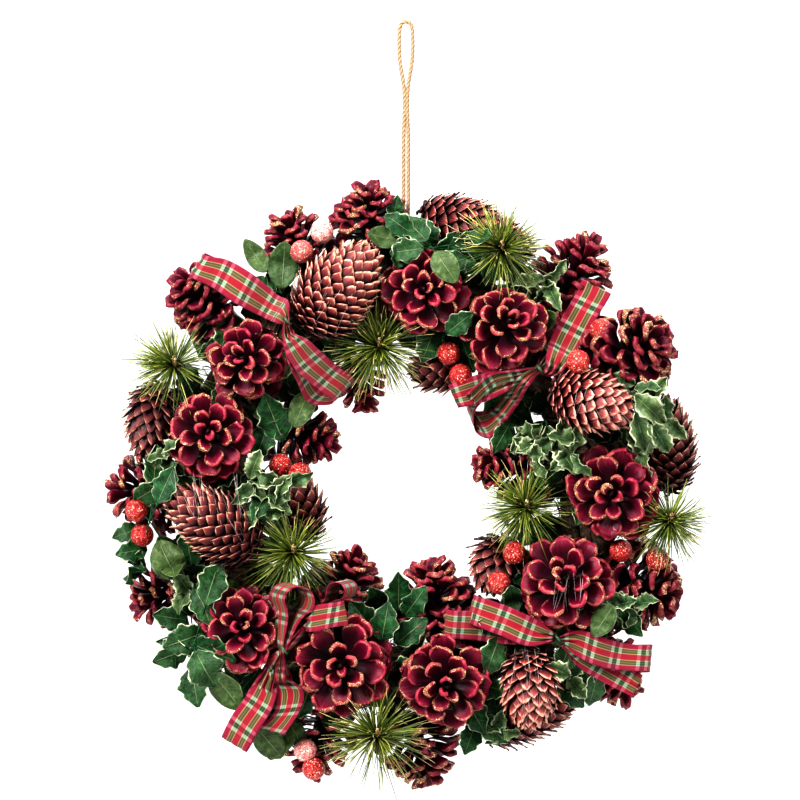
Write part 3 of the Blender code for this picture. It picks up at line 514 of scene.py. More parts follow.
def pine_cone(node, size, habit, glitter, seed):
    """Cone standing on its node's axis: scales in a golden spiral round a tapering core.

    Scale k runs from the core on a quadratic arc out and then up to its tip, from wide and flat at
    the base (t = 0) to small and upright at the top (t = 1). It widens like a strap to its blunt
    end, is cupped by v squared, and its thick tip hooks back by hook * (u - 0.75) squared.
    """
    width, height, heading, rise = size
    count, reach, half_widths, knob, gilded, even = habit
    chance = np.random.default_rng(seed)
    axis = direction(heading, rise)
    solid = node_points(node)
    level = solid @ axis
    foot = solid[level < level.min() + 0.01].mean(axis=0)
    base = foot + axis * (level.max() - 0.98 * height - foot @ axis)
    t = np.arange(count) / (count - 1)
    turn = GOLDEN * np.arange(count) + chance.uniform(-0.2, 0.2, count)
    tip_out = width / 2 * np.interp(t, (0.0, 0.45, 0.70, 0.87, 1.0), reach) * chance.uniform(0.87, 1.05, count)
    tip_up = height * (0.09 + 0.87 * t ** 0.95) + chance.uniform(-2.6, 2.0, count)
    root_out = width * (0.10 - 0.06 * t)
    root_up = height * (0.05 + 0.60 * t)
    half = width * np.interp(t, (0.0, 0.5, 0.8, 1.0), half_widths) * chance.uniform(0.86, 1.12, count)
    twist = chance.uniform(-0.45, 0.45, count)
    u = np.array([0.0, 0.25, 0.48, 0.66, 0.79, 0.88, 0.95, 1.0])
    v = np.array([-1.0, -0.6, 0.0, 0.6, 1.0])
    bow = u[None, :] * (1 - u[None, :]) * 2
    out = ((1 - u) ** 2) * root_out[:, None] + bow * (root_out + 0.62 * (tip_out - root_out))[:, None] + u ** 2 * tip_out[:, None]
    up = ((1 - u) ** 2) * root_up[:, None] + bow * (root_up + 0.10 * (tip_up - root_up))[:, None] + u ** 2 * tip_up[:, None]
    run = unit(np.stack([np.gradient(out, axis=1), np.gradient(up, axis=1)], -1))
    profile = np.array([0.34, 0.48, 0.70, 0.90, 1.0, 0.96, 0.76, 0.42])
    wide = half[:, None] * profile
    cup = wide[:, :, None] * (0.30 + 0.14 * t)[:, None, None] * v ** 2 * smooth_step(u, 0.1, 0.6)[None, :, None]
    lean = twist[:, None, None] * wide[:, :, None] * v * u[None, :, None]
    radial = np.stack([np.cos(turn), np.sin(turn), 0 * turn], -1)[:, None, None]
    sideways = np.stack([-np.sin(turn), np.cos(turn), 0 * turn], -1)[:, None, None]
    rise_way = np.array([0.0, 0.0, 1.0])
    hook = (1.0 + knob) * chance.uniform(0.2, 1.3, count)[:, None, None] * ((u - 0.75).clip(0) * 4)[None, :, None] ** 2
    lift = cup + lean - hook
    surface = radial * (out[:, :, None] - run[:, :, 1:] * lift)[..., None] \
        + rise_way * (up[:, :, None] + run[:, :, :1] * lift)[..., None] + sideways * (wide[:, :, None] * v)[..., None]
    bite = chance.uniform(-0.5, 0.5, (count, 1, 5)) * smooth_step(u, 0.6, 1.0)[None, :, None] * half[:, None, None] * 0.3
    surface = surface + radial * bite[..., None]
    thick = (0.8 + knob * smooth_step(u, 0.62, 0.95))[None, :, None] * (1 - 0.2 * v ** 2) * width / 52 + 0 * cup
    blades = shell(surface, thick)
    gold = glitter * np.where(chance.uniform(0, 1, count) < gilded * smooth_step(t, -0.3, 0.4), chance.uniform(0.7, 1.2, count), 0.0)
    gold = gold[:, None, None] * smooth_step(u, 0.55, 0.95)[None, :, None] * chance.uniform(0.3, 1.0, (count, 1, 5))
    shape = both_sides(thick).shape
    far = tip_out[:, None, None] - root_out[:, None, None]
    rim = np.minimum((1 - np.abs(v)) * wide[:, :, None], (1 - u[None, :, None]) * np.hypot(far, (tip_up - root_up)[:, None, None]))
    scales = part(stand(blades, base, axis, seed), grid_faces(8, 10),
                  layer(shape, both_sides(v + 0 * thick), u[None, :, None], both_sides(rim)),
                  layer(shape, chance.uniform(0, 1, count)[:, None, None], both_sides(gold), even))
    stalk = level.min() - base @ axis
    heights = np.concatenate([[stalk, stalk * 0.5, -0.5], np.linspace(0.0, 0.80, 7) * height])
    girth = np.array([0.062, 0.066, 0.09, 0.115, 0.11, 0.10, 0.09, 0.075, 0.055, 0.02]) * width
    path = np.stack([0 * heights, 0 * heights, heights], -1)
    core = tube(path, np.array((1.0, 0, 0)) + 0 * path, girth[:, None], 8)
    core_part = part(stand(core, base, axis), grid_faces(10, 8), layer((10, 8), 0.0, 0.25, 9.0), layer((10, 8), 0.3, 0.0, 0.0))
    piece(node.replace("pine_cone", "open_cone"), [scales, core_part], PINE, [node])


for number, size in enumerate(FRONT_CONES, 1):
    glitter = (1.0, 1.0, 0.85, 1.0, 0.65, 0.6, 0.8, 0.8, 0.8)[number - 1]
    pine_cone(f"pine_cone_front_{number}", size, (32, (1.0, 0.92, 0.72, 0.42, 0.07), (0.138, 0.122, 0.088, 0.044), 1.5, 0.8, 0.0),
              glitter, 20 + number)
for number, size in enumerate(OUTER_CONES, 1):
    slim = (1.0, 0.95, 1.05, 0.95, 0.80, 0.68, 0.85, 0.70, 0.75, 0.9, 0.9)[number - 1]
    grown = (1.12, 1.18, 1.06, 1.26, 1.22, 1.26, 1.20, 1.24, 1.26, 1.26, 1.14)[number - 1]
    pine_cone(f"pine_cone_outer_{number}", (size[0] * grown, size[1] * (0.5 + 0.45 * grown), *size[2:]),
              (52, (1.0, 0.90, 0.66, 0.42, 0.16), (0.108 * slim, 0.100 * slim, 0.084 * slim, 0.06 * slim), 2.4, 0.3, 1.0), 0.85, 40 + number)
for number, size in enumerate(INNER_CONES, 1):
    grown = (1.24, 1.14, 1.14, 1.14, 1.16)[number - 1]
    pine_cone(f"pine_cone_inner_{number}", (size[0] * grown, size[1] * (0.5 + 0.47 * grown), *size[2:]),
              (48, (1.0, 0.90, 0.66, 0.42, 0.16), (0.115, 0.108, 0.088, 0.06), 2.2, 0.35, 0.8), 0.85, 60 + number)


# ---- Spruce cones -------------------------------------------------------------------------------
# Long closed cones, dyed a dusty red, of thin stiff scales in spiral rows. Each scale stands a
# little off the one above it, and its wavy lip is bleached. They are glued down on their sides.

SPRUCE_CONES = (
    (-38, -42, 118, 44, 68, 50, 0.32), (45, -8, 154, 34, 78, 337, 0.30), (113, -45.5, 51, 35, 56, 342, 0.85),
    (-112, -39, -21, 38, 68, 147, 0.28), (-151, -8, 41, 31, 50, 255, 0.05), (76.5, -32.25, -120, 34, 50, 270, 0.62),
    (77, -8, -139, 28, 68, 22, 0.20), (160, -8, 25, 34, 64, 95, 0.10), (-62, -10, -12, 30, 48, 105, 0.20),
    (22, -10, 70, 26, 40, 180, 0.15), (57, -10, -47, 32, 40, 250, 0.30),
)

SPRUCE, tree, shader, place, kind = paint("dusty_red_scale")
grain = noise(tree, join(tree, math_node(tree, "MULTIPLY", place["X"], 6.0), place["Y"], math_node(tree, "MULTIPLY", kind["X"], 50.0)), 1.6, 3.0)
# Painted shade: the scales run from near black at their roots, where they tuck under the scale above, to the red dye
# near the lip, with grain noise mixed in. Their backs are painted darker still.
root_shade_and_grain = math_node(tree, "ADD", place["Y"], math_node(tree, "MULTIPLY", math_node(tree, "SUBTRACT", grain, 0.5), 0.5))
plain = ramp(tree, root_shade_and_grain, (0.40, (0.008, 0.001, 0.001)), (0.64, (0.075, 0.007, 0.011)), (0.84, (0.21, 0.022, 0.022)), (1.0, (0.38, 0.11, 0.07)))
bright = ramp(tree, root_shade_and_grain, (0.40, (0.016, 0.001, 0.001)), (0.62, (0.17, 0.010, 0.012)), (0.84, (0.38, 0.045, 0.038)), (1.0, (0.56, 0.17, 0.12)))
body = blend(tree, kind["Z"], plain, bright)
body = blend(tree, math_node(tree, "MULTIPLY", kind["X"], 0.45), body, blend(tree, 0.6, body, (0.09, 0.015, 0.015)))
edge = math_node(tree, "ADD", math_node(tree, "MULTIPLY", math_node(tree, "ABSOLUTE", place["X"]), 0.22), math_node(tree, "MULTIPLY", kind["Z"], 0.12))
lip = spread(tree, math_node(tree, "ADD", root_shade_and_grain, edge), 0.93, 1.06)
# Bleached dust on the lips: its grains take random tones, and the brightest, near white, are painted glints.
tint, away = grains(tree, 0.0004)
glint_grain = add(tree, "SeparateColor", {0: tint}).outputs[0]
dust_and_glints = ramp(tree, glint_grain, (0.0, (0.30, 0.12, 0.06)), (0.5, (0.62, 0.36, 0.22)), (0.9, (0.92, 0.72, 0.48)), (1.0, (1.0, 0.95, 0.8)))
finish_with(tree, shader, Base_Color=blend(tree, math_node(tree, "MULTIPLY", lip, kind["Y"]), body, blend(tree, kind["Z"], dust_and_glints, (0.74, 0.40, 0.31))), Roughness=0.5)
relief(tree, shader, grain, 0.0005)


def spruce_cone(number, spot):
    """Closed cone: scale k sits on the spindle radius = width / 2 * sin(pi * s ** 0.8) ** 0.6.

    Each takes an equal area of the spindle, a golden angle on from the last, and leaves it along a
    quadratic arc; its blade bends round the axis and closes in a low point.
    """
    x, y, z, width, length, heading, warmth = spot
    width, length = width - 2.0, length - 2.0
    chance = np.random.default_rng(100 + number)
    s = np.linspace(0.004, 0.996, 400)
    radius = width / 2 * np.sin(np.pi * s ** 0.8) ** 0.6
    slant = np.hypot(np.gradient(radius), np.gradient(s * length))
    area = np.cumsum(2 * np.pi * radius * slant)
    count = int(area[-1] / 36.0)
    at = np.interp((np.arange(count) + 0.5) / count, area / area[-1], np.arange(400.0))
    r = np.interp(at, np.arange(400), radius)
    along = np.stack([np.interp(at, np.arange(400), np.gradient(radius)),
                      np.interp(at, np.arange(400), np.gradient(s * length))], -1)
    along = unit(along)
    outward = np.stack([along[:, 1], -along[:, 0]], -1)
    spot_on = np.stack([r, s[at.astype(int)] * length - length / 2], -1)
    size = np.clip(r / 9.0, 0.42, 1.0) * chance.uniform(0.92, 1.08, count)
    root = spot_on - along * 4.5 * size[:, None] - outward * np.minimum(4.0, 0.7 * r)[:, None]
    bend = spot_on + outward * 0.2
    stand_off = chance.uniform(1.8, 4.6, count) * size * np.clip(s[at.astype(int)] / 0.2, 0.1, 1.0)
    tip = spot_on + along * (chance.uniform(5.0, 6.6, count) * size)[:, None] + outward * stand_off[:, None]
    u = np.array([0.0, 0.45, 0.68, 0.88, 1.0])
    v = np.array([-1.0, -0.5, 0.0, 0.5, 1.0])
    line = ((1 - u) ** 2)[:, None] * root[:, None] + (2 * u * (1 - u))[:, None] * bend[:, None] + (u ** 2)[:, None] * tip[:, None]
    half = (chance.uniform(4.3, 5.0, count) * size)[:, None] * np.array([0.50, 1.0, 0.92, 0.64, 0.26] if warmth >= 0.32 else [0.50, 1.0, 0.80, 0.40, 0.07])
    reach = np.maximum(line[..., 0], 0.6)
    turn = (GOLDEN * np.arange(count))[:, None, None] + v * np.minimum(half / np.maximum(reach, 3.0), 1.15)[..., None]
    wave = chance.uniform(-0.9, 0.9, (count, 1, 5)) * (u ** 2)[None, :, None]
    out = reach[..., None] + wave - 1.3 * v ** 2 * u[None, :, None]
    surface = np.stack([out * np.cos(turn), out * np.sin(turn), line[..., 1][..., None] + 0.5 * wave - 0.9 * np.abs(v) * u[None, :, None]], -1)
    axis = direction(heading, 6)
    thick = np.array([1.0, 0.9, 0.7, 0.6, 0.5])[None, :, None] + 0 * out
    blades = shell(surface[:, :, ::-1], thick)
    shape = both_sides(thick).shape
    # Painted shade: the back of each scale is set 0.45 lower along, so the colour ramps paint it darker.
    back = np.concatenate([0 * thick, 1 + 0 * thick], -1)
    scales = part(stand(blades, (x, y, z), axis, number), grid_faces(5, 10),
                  layer(shape, both_sides(v[::-1] + 0 * thick), u[None, :, None] - 0.45 * back, 0),
                  layer(shape, chance.uniform(0, 1, count)[:, None, None], 0.75, warmth))
    core_at = np.linspace(0, 1, 9)
    path = np.stack([0 * core_at, 0 * core_at, (core_at - 0.5) * length * 0.94], -1)
    girth = width / 2 * np.sin(np.pi * np.clip(core_at, 0.02, 0.98) ** 0.8) ** 0.6 - 2.2
    core = tube(path, np.array((1.0, 0, 0)) + 0 * path, np.maximum(girth, 0.6)[:, None], 12)
    core_part = part(stand(core, (x, y, z), axis), grid_faces(9, 12), layer((9, 12), 0, 0.2, 0), layer((9, 12), 0.5, 0, warmth))
    piece(f"closed_cone_{number}", [scales, core_part], SPRUCE, [f"spruce_cone_{number}"])


for number, spot in enumerate(SPRUCE_CONES, 1):
    spruce_cone(number, spot)


# ---- Needle sprays ------------------------------------------------------------------------------
# Tufts of green plastic needles, as on a pine twig, each on a short wire twig pushed in between
# the cones. Many needles end in a cream or gold tip, and gold glitter sticks to the twig.

# Root x, y, z, needle length, the way most needles lean in x and z, and the share with gold tips
NEEDLE_SPRAYS = (
    (-136, -34, 73, 28, -0.45, 0.15, 0.25), (-14, -34, 84, 33, 0.05, -0.15, 0.65), (59, -36.5, 142, 29, 0.15, 0.1, 0.3),
    (74, -34, -12, 29, -0.35, 0.0, 0.3), (160, -34, -20, 27, -0.1, -0.2, 0.3), (-65, -34, -39, 30, 0.0, -0.1, 0.2),
    (-15, -38, -148, 34, 0.0, 0.25, 0.45),
)

NEEDLE, tree, shader, place, kind = paint("pine_needle")
green = ramp(tree, kind["X"], (0.0, (0.016, 0.035, 0.004)), (0.4, (0.085, 0.130, 0.014)), (0.75, (0.23, 0.26, 0.038)), (1.0, (0.46, 0.42, 0.12)))
rooted = blend(tree, spread(tree, place["Y"], 0.0, 0.35), (0.035, 0.03, 0.012), green)
tipped = math_node(tree, "MULTIPLY", spread(tree, place["Y"], 0.72, 0.98), kind["Y"])
finish_with(tree, shader, Base_Color=blend(tree, tipped, rooted, (0.80, 0.62, 0.33)), Roughness=0.35, Specular_IOR_Level=0.6)

TWIG, tree, shader, place, kind = paint("glittered_twig")
# Gold glitter on the twig: grains of random tone from dark brown to gold, the brightest, near white, painted glints.
tint, away = grains(tree, 0.0005)
glint_grain = add(tree, "SeparateColor", {0: tint}).outputs[0]
finish_with(tree, shader, Base_Color=ramp(tree, glint_grain, (0.0, (0.05, 0.025, 0.01)), (0.6, (0.16, 0.08, 0.03)), (0.8, (0.75, 0.48, 0.20)), (1.0, (1.0, 0.85, 0.5))),
            Roughness=0.5)
relief(tree, shader, away, 0.0004)


def needle_spray(number, spot):
    """Needles from a short twig, each bowed by a quadratic: root + way * t * length + bow * t * t."""
    x, y, z, length, lean_x, lean_z, tipped = spot
    chance = np.random.default_rng(200 + number)
    count = 260
    heading = chance.uniform(0, 2 * np.pi, count)
    rise = np.arcsin(np.clip(chance.uniform(-0.32, 1.0, count), -1, 1)) * 0.95
    way = unit(np.stack([np.cos(heading) * np.cos(rise) + lean_x, -np.sin(rise), np.sin(heading) * np.cos(rise) + lean_z], -1))
    root = np.array((x, y + 6, z)) + way * 1.0 + np.stack([0 * rise, chance.uniform(-7, 2, count), 0 * rise], -1)
    reach = length * chance.uniform(0.72, 1.04, count) * (1 - 0.22 * np.sin(rise) ** 2)
    bow = chance.normal(0, 0.13, (count, 3)) * reach[:, None] + np.array((0, 0, -0.05)) * reach[:, None]
    t = np.linspace(0, 1, 5)[None, :, None]
    path = root[:, None] + way[:, None] * t * reach[:, None, None] + bow[:, None] * t ** 2
    girth = (chance.uniform(0.30, 0.42, count)[:, None] * np.array([0.8, 1.0, 0.95, 0.75, 0.3]))[..., None]
    needles = tube(path, np.array((0.2, 0.1, 1.0)) + 0 * path, girth, 3)
    shade = np.clip(chance.normal(0.42, 0.24, count), 0, 1)[:, None, None]
    gold = (chance.uniform(0, 1, count) < tipped)[:, None, None] * chance.uniform(0.4, 1.0, (count, 1, 1))
    needle_part = part(needles, grid_faces(5, 3), layer((count, 5, 3), 0, t, 0), layer((count, 5, 3), shade, gold, 0))
    made = piece(f"needle_tuft_{number}", [needle_part], NEEDLE, [f"needle_spray_{number}"])
    stem = curve_through([(x, y + 26, z - 3), (x, y + 8, z), (x + 0.6, y - 4, z + 1.5), (x + 0.3, y - 8.5, z + 4.5)], 24)
    rough = 1.25 + 0.35 * np.sin(np.arange(24) * 2.1)[:, None] * np.cos(np.arange(8) * 1.7)[None, :]
    twig = tube(stem, np.array((0.3, 0.0, 1.0)) + 0 * stem, rough, 8)
    piece(f"needle_twig_{number}", [part(twig, grid_faces(24, 8), layer((24, 8), 0, 0, 0), layer((24, 8), 0, 0, 0))], TWIG)


for number, spot in enumerate(NEEDLE_SPRAYS, 1):
    needle_spray(number, spot)


# ---- Leaves and berries -------------------------------------------------------------------------
# Sprigs of printed fabric leaves on wired stems: dark holly with a cream edge, smooth ovals seen
# from their pale backs, and curled ones. The berries are foam balls rolled in glitter.

SPRIGS = (
    ((-72, 116), ((-71, 131, 28, 18), (-88, 139, 24, 12), (-84, 122, 20, 11)), ((-48, 153), (-60, 141))),
    ((18, 143), ((-11, 149, 20, 13), (-2, 157, 20, 13), (8, 154, 20, 14), (3, 141, 20, 13),
                 (26, 131, 22, 15), (42, 147, 22, 14), (49, 140, 20, 13)), ()),
    ((-70, 24), ((-77, 42, 30, 18), (-60, 47, 24, 14), (-91, 1, 24, 13), (-84, -9, 24, 12)),
     ((-73, 13), (-61, 8))),
    ((-150, -20), ((-148, 13, 26, 15), (-140, 2, 24, 13), (-140, -41, 26, 18), (-160, -47, 20, 12)),
     ((-159, -14), (-156, -29))),
    ((-124, -94), ((-113, -57, 26, 16), (-128, -64, 26, 15), (-136, -94, 22, 17), (-117, -107, 24, 19),
                   (-104, -121, 28, 17), (-80, -152, 26, 16)), ((-58, -158), (-53, -169))),
    ((-2, -82), ((-12, -69, 24, 14), (-2, -62, 24, 14), (8, -68, 22, 13)), ()),
    ((86, 40), ((77, 32, 26, 14), (90, 24, 26, 14), (98, 18, 24, 13)), ()),
    ((134, 58), ((146, 47, 24, 14), (152, 31, 22, 12), (141, 34, 24, 13)), ((104, 75), (119, 94))),
    ((127, -67), ((122, -75, 22, 14), (137, -80, 22, 14), (108, -113, 26, 14), (115, -121, 22, 12)),
     ((131, -38), (153, -43))),
    ((24, 90), ((33, 97, 20, 12),), ((28, 80), (35, 67))),
    ((62, -50), ((66, -68, 20, 12),), ((67, -39), (58, -57))),
)
# Kinds of the leaves above: h holly, o pale oval, c cream-edged and curled
LEAF_KINDS = ("ooh", "ohhhohh", "hohh", "hhoh", "hhhhoo", "hhh", "ccc", "ccc", "ohhh", "h", "h")

LEAF, tree, shader, place, kind = paint("printed_leaf")
mottle = noise(tree, add(tree, "TexCoord").outputs["Object"], 260.0, 4.0)
side = math_node(tree, "ABSOLUTE", place["X"])
dark = ramp(tree, mottle, (0.3, (0.0015, 0.012, 0.003)), (0.55, (0.005, 0.050, 0.012)), (0.75, (0.018, 0.120, 0.028)))
pale = ramp(tree, mottle, (0.3, (0.020, 0.042, 0.009)), (0.55, (0.055, 0.090, 0.026)), (0.75, (0.13, 0.17, 0.065)))
sage = ramp(tree, mottle, (0.3, (0.055, 0.085, 0.030)), (0.55, (0.15, 0.20, 0.09)), (0.75, (0.34, 0.38, 0.22)))
faded = math_node(tree, "MULTIPLY", kind["Z"], spread(tree, side, 0.15, 0.85))
green = blend(tree, faded, blend(tree, kind["X"], dark, pale), sage)
vein = math_node(tree, "SINE", math_node(tree, "MULTIPLY", math_node(tree, "SUBTRACT", place["Y"], math_node(tree, "MULTIPLY", side, 0.20)), 44.0))
vein = math_node(tree, "MAXIMUM", math_node(tree, "MULTIPLY", spread(tree, vein, 0.90, 1.0), 0.35), spread(tree, side, 0.06, 0.02))
green = blend(tree, math_node(tree, "MULTIPLY", vein, 0.42), green, (0.30, 0.38, 0.18))
rim = math_node(tree, "ADD", side, math_node(tree, "MULTIPLY", kind["Z"], 0.10))
margin = math_node(tree, "MULTIPLY", spread(tree, math_node(tree, "ADD", rim, math_node(tree, "MULTIPLY", math_node(tree, "SUBTRACT", mottle, 0.5), 0.15)), 0.90, 0.98), kind["Y"])
broken = spread(tree, noise(tree, add(tree, "TexCoord").outputs["Object"], 120.0, 2.0), 0.38, 0.62, 0.15, 1.0)
finish_with(tree, shader, Base_Color=blend(tree, math_node(tree, "MULTIPLY", margin, broken), green, (0.56, 0.58, 0.40)), Roughness=0.5,
            Specular_IOR_Level=0.25)
relief(tree, shader, math_node(tree, "ADD", mottle, vein), 0.0011)

BERRY, tree, shader, place, kind = paint("glittered_berry")
# Glitter on the berries: grains of random tone, the brightest pale ones painted glints of light.
tint, away = grains(tree, 0.00055)
glint_grain = add(tree, "SeparateColor", {0: tint}).outputs[0]
red = ramp(tree, glint_grain, (0.0, (0.10, 0.001, 0.003)), (0.55, (0.32, 0.005, 0.010)), (0.85, (0.60, 0.022, 0.018)), (0.95, (0.9, 0.30, 0.18)), (1.0, (1.0, 0.85, 0.7)))
frost = ramp(tree, glint_grain, (0.0, (0.40, 0.06, 0.06)), (0.5, (0.78, 0.27, 0.24)), (0.8, (0.95, 0.62, 0.55)), (1.0, (1.0, 0.95, 0.9)))
finish_with(tree, shader, Base_Color=blend(tree, kind["X"], red, frost), Roughness=0.28, Metallic=0.15)
relief(tree, shader, away, 0.0004)


def solid_of(objects):
    """Search tree over meshes, in mm about the ring's centre."""
    points, faces = [], []
    for made in objects:
        mesh = made.data
        flat = np.empty(len(mesh.vertices) * 3, np.float32)
        mesh.vertices.foreach_get("co", flat)
        faces += [tuple(corner + len(points) for corner in face.vertices) for face in mesh.polygons]
        points += (flat.reshape(-1, 3).astype(float) / MM - RING_CENTRE).tolist()
    return BVHTree.FromPolygons(points, faces)


cones = solid_of([made for made in bpy.data.objects if "_cone_" in made.name and "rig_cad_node" not in made])


def sight(node):
    """Function giving the depth at (x, z) of the part of a node that the viewer sees.

    Where a dressed cone lies just in front of that, the depth is taken in front of the cone.
    """
    solid = solid_of([frame["nodes"][node]])

    def depth_at(x, z, rise=6.0):
        hit = solid.ray_cast((x, -300.0, z), (0.0, 1.0, 0.0))[0]
        depth = hit.y if hit else solid.find_nearest((x, -60.0, z))[0].y
        cone = cones.ray_cast((x, -300.0, z), (0.0, 1.0, 0.0))[0]
        if cone and depth - rise < cone.y < depth + 1.5:
            depth = cone.y - 1.5
        return depth
    return depth_at


def leaf(root, middle, tip, lie, half, kind_of, chance, reach=11.0):
    """Leaf blade on a curve through root, middle and tip, across the lie of the viewer's plane.

    Half width is half * sin(pi * u ** 0.8) ** 0.8, with saw teeth for holly; it is folded a little
    along its midrib, and its edge waves or curls. It lies on any cone up to reach in front of it.
    """
    u = np.linspace(0, 1, 17)
    v = np.array([-1.0, -0.7, -0.35, 0.0, 0.35, 0.7, 1.0])
    line = curve_through([root, (np.array(root) * 0.45 + np.array(middle) * 0.55), middle, (np.array(middle) * 0.5 + np.array(tip) * 0.5), tip], 17)
    run = unit(np.gradient(line, axis=0))
    across = unit(np.cross(run, lie))
    normal = unit(np.cross(across, run))
    width = half * np.sin(np.pi * np.clip(u, 0.015, 0.985) ** 0.85) ** 0.75
    if kind_of == "o":
        width = half * np.sin(np.pi * np.clip(u, 0.01, 0.99) ** 0.9) ** 0.6
    if kind_of == "h":
        width = width * (1 + 0.42 * (2 * np.abs((u * 3.6 + 0.3) % 1 - 0.5) - 0.35) * np.sin(np.pi * u))
    if kind_of == "c":
        width = width * (1 + 0.16 * np.sin(u * 34 + half))
    fold = {"h": 0.22, "o": 0.12, "c": 0.62}[kind_of]
    wave = {"h": 0.20, "o": 0.07, "c": 0.42}[kind_of]
    phase = chance.uniform(0, 6.28, 2)
    ripple = np.where(v[None, :] < 0, np.sin(u * 11 + phase[0])[:, None], np.sin(u * 12 + phase[1])[:, None])
    lift = half * (fold * np.abs(v)[None, :] + wave * ripple * v[None, :] ** 2)
    surface = line[:, None] + across[:, None] * (width[:, None] * v)[..., None] * (1 - 0.1 * fold) \
        + normal[:, None] * lift[..., None] * np.sin(np.pi * np.clip(u, 0.04, 0.97))[:, None, None] ** 0.5
    fronts = [(cones.ray_cast((x, -300.0, z), (0.0, 1.0, 0.0))[0], y) for x, y, z in surface[1::2, ::2].reshape(-1, 3)]
    surface[..., 1] -= max([0.0] + [y + 0.8 - front.y for front, y in fronts if front and y - reach < front.y < y + 0.8])
    thick = 0.35 + 0 * lift
    blade = shell(surface, thick)
    shape = both_sides(thick).shape
    pale = {"h": chance.uniform(0, 0.25), "o": chance.uniform(0.6, 1.0), "c": chance.uniform(0.1, 0.8)}[kind_of]
    edge = {"h": 0.9, "o": 0.25, "c": 0.9}[kind_of]
    return part(blade, grid_faces(17, 14), layer(shape, both_sides(v + 0 * thick), u[:, None], 0),
                layer(shape, pale, edge, chance.uniform(0.3, 1.0) if kind_of == "c" else 0))


def ball(middle, radius, pear=0.0):
    """Grid ball, stretched to a pear by pear at its lower end."""
    a = np.pi * (np.arange(15) + 0.5) / 15
    b = 2 * np.pi * np.arange(22) / 22
    a[0], a[-1] = 0.06, np.pi - 0.06
    rings = np.sin(a)[:, None] * (1 - 0.5 * pear * (1 - np.cos(a))[:, None] * 0.5)
    points = np.stack([rings * np.cos(b), rings * np.sin(b), np.cos(a)[:, None] * (1 + pear * 0.3 * (a > 1.57)[:, None]) + 0 * b], -1)
    return np.array(middle) + radius * points


def sprig(number):
    """Stems and leaves of one sprig, and its berries, at the depths of its frame node."""
    (bud_x, bud_z), leaves, berries = SPRIGS[number - 1]
    depth_at = sight(f"leaf_sprig_{number}")
    chance = np.random.default_rng(300 + number)
    bud = np.array((bud_x, depth_at(bud_x, bud_z) + 2.0, bud_z))
    made = []
    for (x, z, length, width), kind_of in zip(leaves, LEAF_KINDS[number - 1]):
        away = np.array((x - bud_x, z - bud_z), float)
        far = np.hypot(*away)
        away /= far
        reach = max(far + length / 2, length + 3)
        ends = [np.array((bud_x, bud_z)) + away * (reach - length * part_way) for part_way in (1.0, 0.5, 0.0)]
        depths = [depth_at(*end) for end in ends]
        depths[2] = min(depths[2], depths[1] + 9) + chance.uniform(-1.5, 1.5)
        points = [np.array((end[0], depth - 0.5, end[1])) for end, depth in zip(ends, depths)]
        lie = unit(np.array((chance.uniform(-0.25, 0.25), -1.0, chance.uniform(-0.25, 0.25))))
        made.append(leaf(*points, lie, width / 2 * 1.08, kind_of, chance, 16.0))
        stem = curve_through([bud + (0, 3, 0), (bud + points[0]) / 2 + (0, 4.0, 0), points[0], points[0] * 0.8 + points[1] * 0.2], 8)
        wire = tube(stem, np.array((0.1, -1.0, 0.2)) + 0 * stem, 0.42, 6)
        made.append(part(wire, grid_faces(8, 6), layer((8, 6), 0.5, 0.5, 0), layer((8, 6), 0.0, 0, 0)))
    fruits = []
    for x, z in berries:
        front = depth_at(x, z)
        middle = np.array((x, front + 6.5, z))
        fruit = ball(middle, 7.0)
        frosted = {(-60, 141): 0.25, (-48, 153): 1.0, (-58, -158): 0.7}.get((x, z), 0.0)
        fruits.append(part(fruit, grid_faces(15, 22), layer((15, 22), 0, 0, 0), layer((15, 22), frosted, 0, 0)))
        stem = curve_through([bud + (0, 6, 0), bud * 0.5 + middle * 0.5 + (0, 9, 0), middle + (0, 5, 0)], 8)
        wire = tube(stem, np.array((0.1, -1.0, 0.2)) + 0 * stem, 0.42, 6)
        made.append(part(wire, grid_faces(8, 6), layer((8, 6), 0.5, 0.5, 0), layer((8, 6), 0.0, 0, 0)))
    piece(f"leaves_{number}", made, LEAF, [f"leaf_sprig_{number}"])
    if fruits:
        piece(f"berries_{number}", fruits, BERRY)


for number in range(1, len(SPRIGS) + 1):
    sprig(number)


# ---- Small filling ------------------------------------------------------------------------------
# Between the trimmings the ring is packed with more printed leaves and tufts of dyed moss, glued
# to the vines, so that little of the ring shows.

chance = np.random.default_rng(500)
filling = []
for number in range(150):
    theta = 2 * np.pi * (number + chance.uniform(-0.3, 0.3)) / 150
    phi = np.radians((5, 55, 90, 125, 175)[number % 5] + chance.uniform(-20, 20))
    away = np.array((np.cos(theta), 0.0, np.sin(theta)))
    front = np.array((0.0, -1.0, 0.0))
    tangent = np.array((-np.sin(theta), 0.0, np.cos(theta)))
    out = away * np.cos(phi) + front * np.sin(phi)
    root = away * RING_RADIUS + out * 16.5
    way = unit(out * chance.uniform(0.5, 0.9) + tangent * chance.uniform(-0.8, 0.8) + front * 0.02)
    length = chance.uniform(19, 27)
    middle = root + way * length * 0.55 + front * 0.6
    tip = root + way * length
    lie = unit(front * 1.0 + out * 0.35 + tangent * chance.uniform(-0.4, 0.4))
    kind_of = "hhhohc"[number % 6]
    filling.append(leaf(root, middle, tip, lie, chance.uniform(5.5, 8.5), kind_of, chance, 0.0))

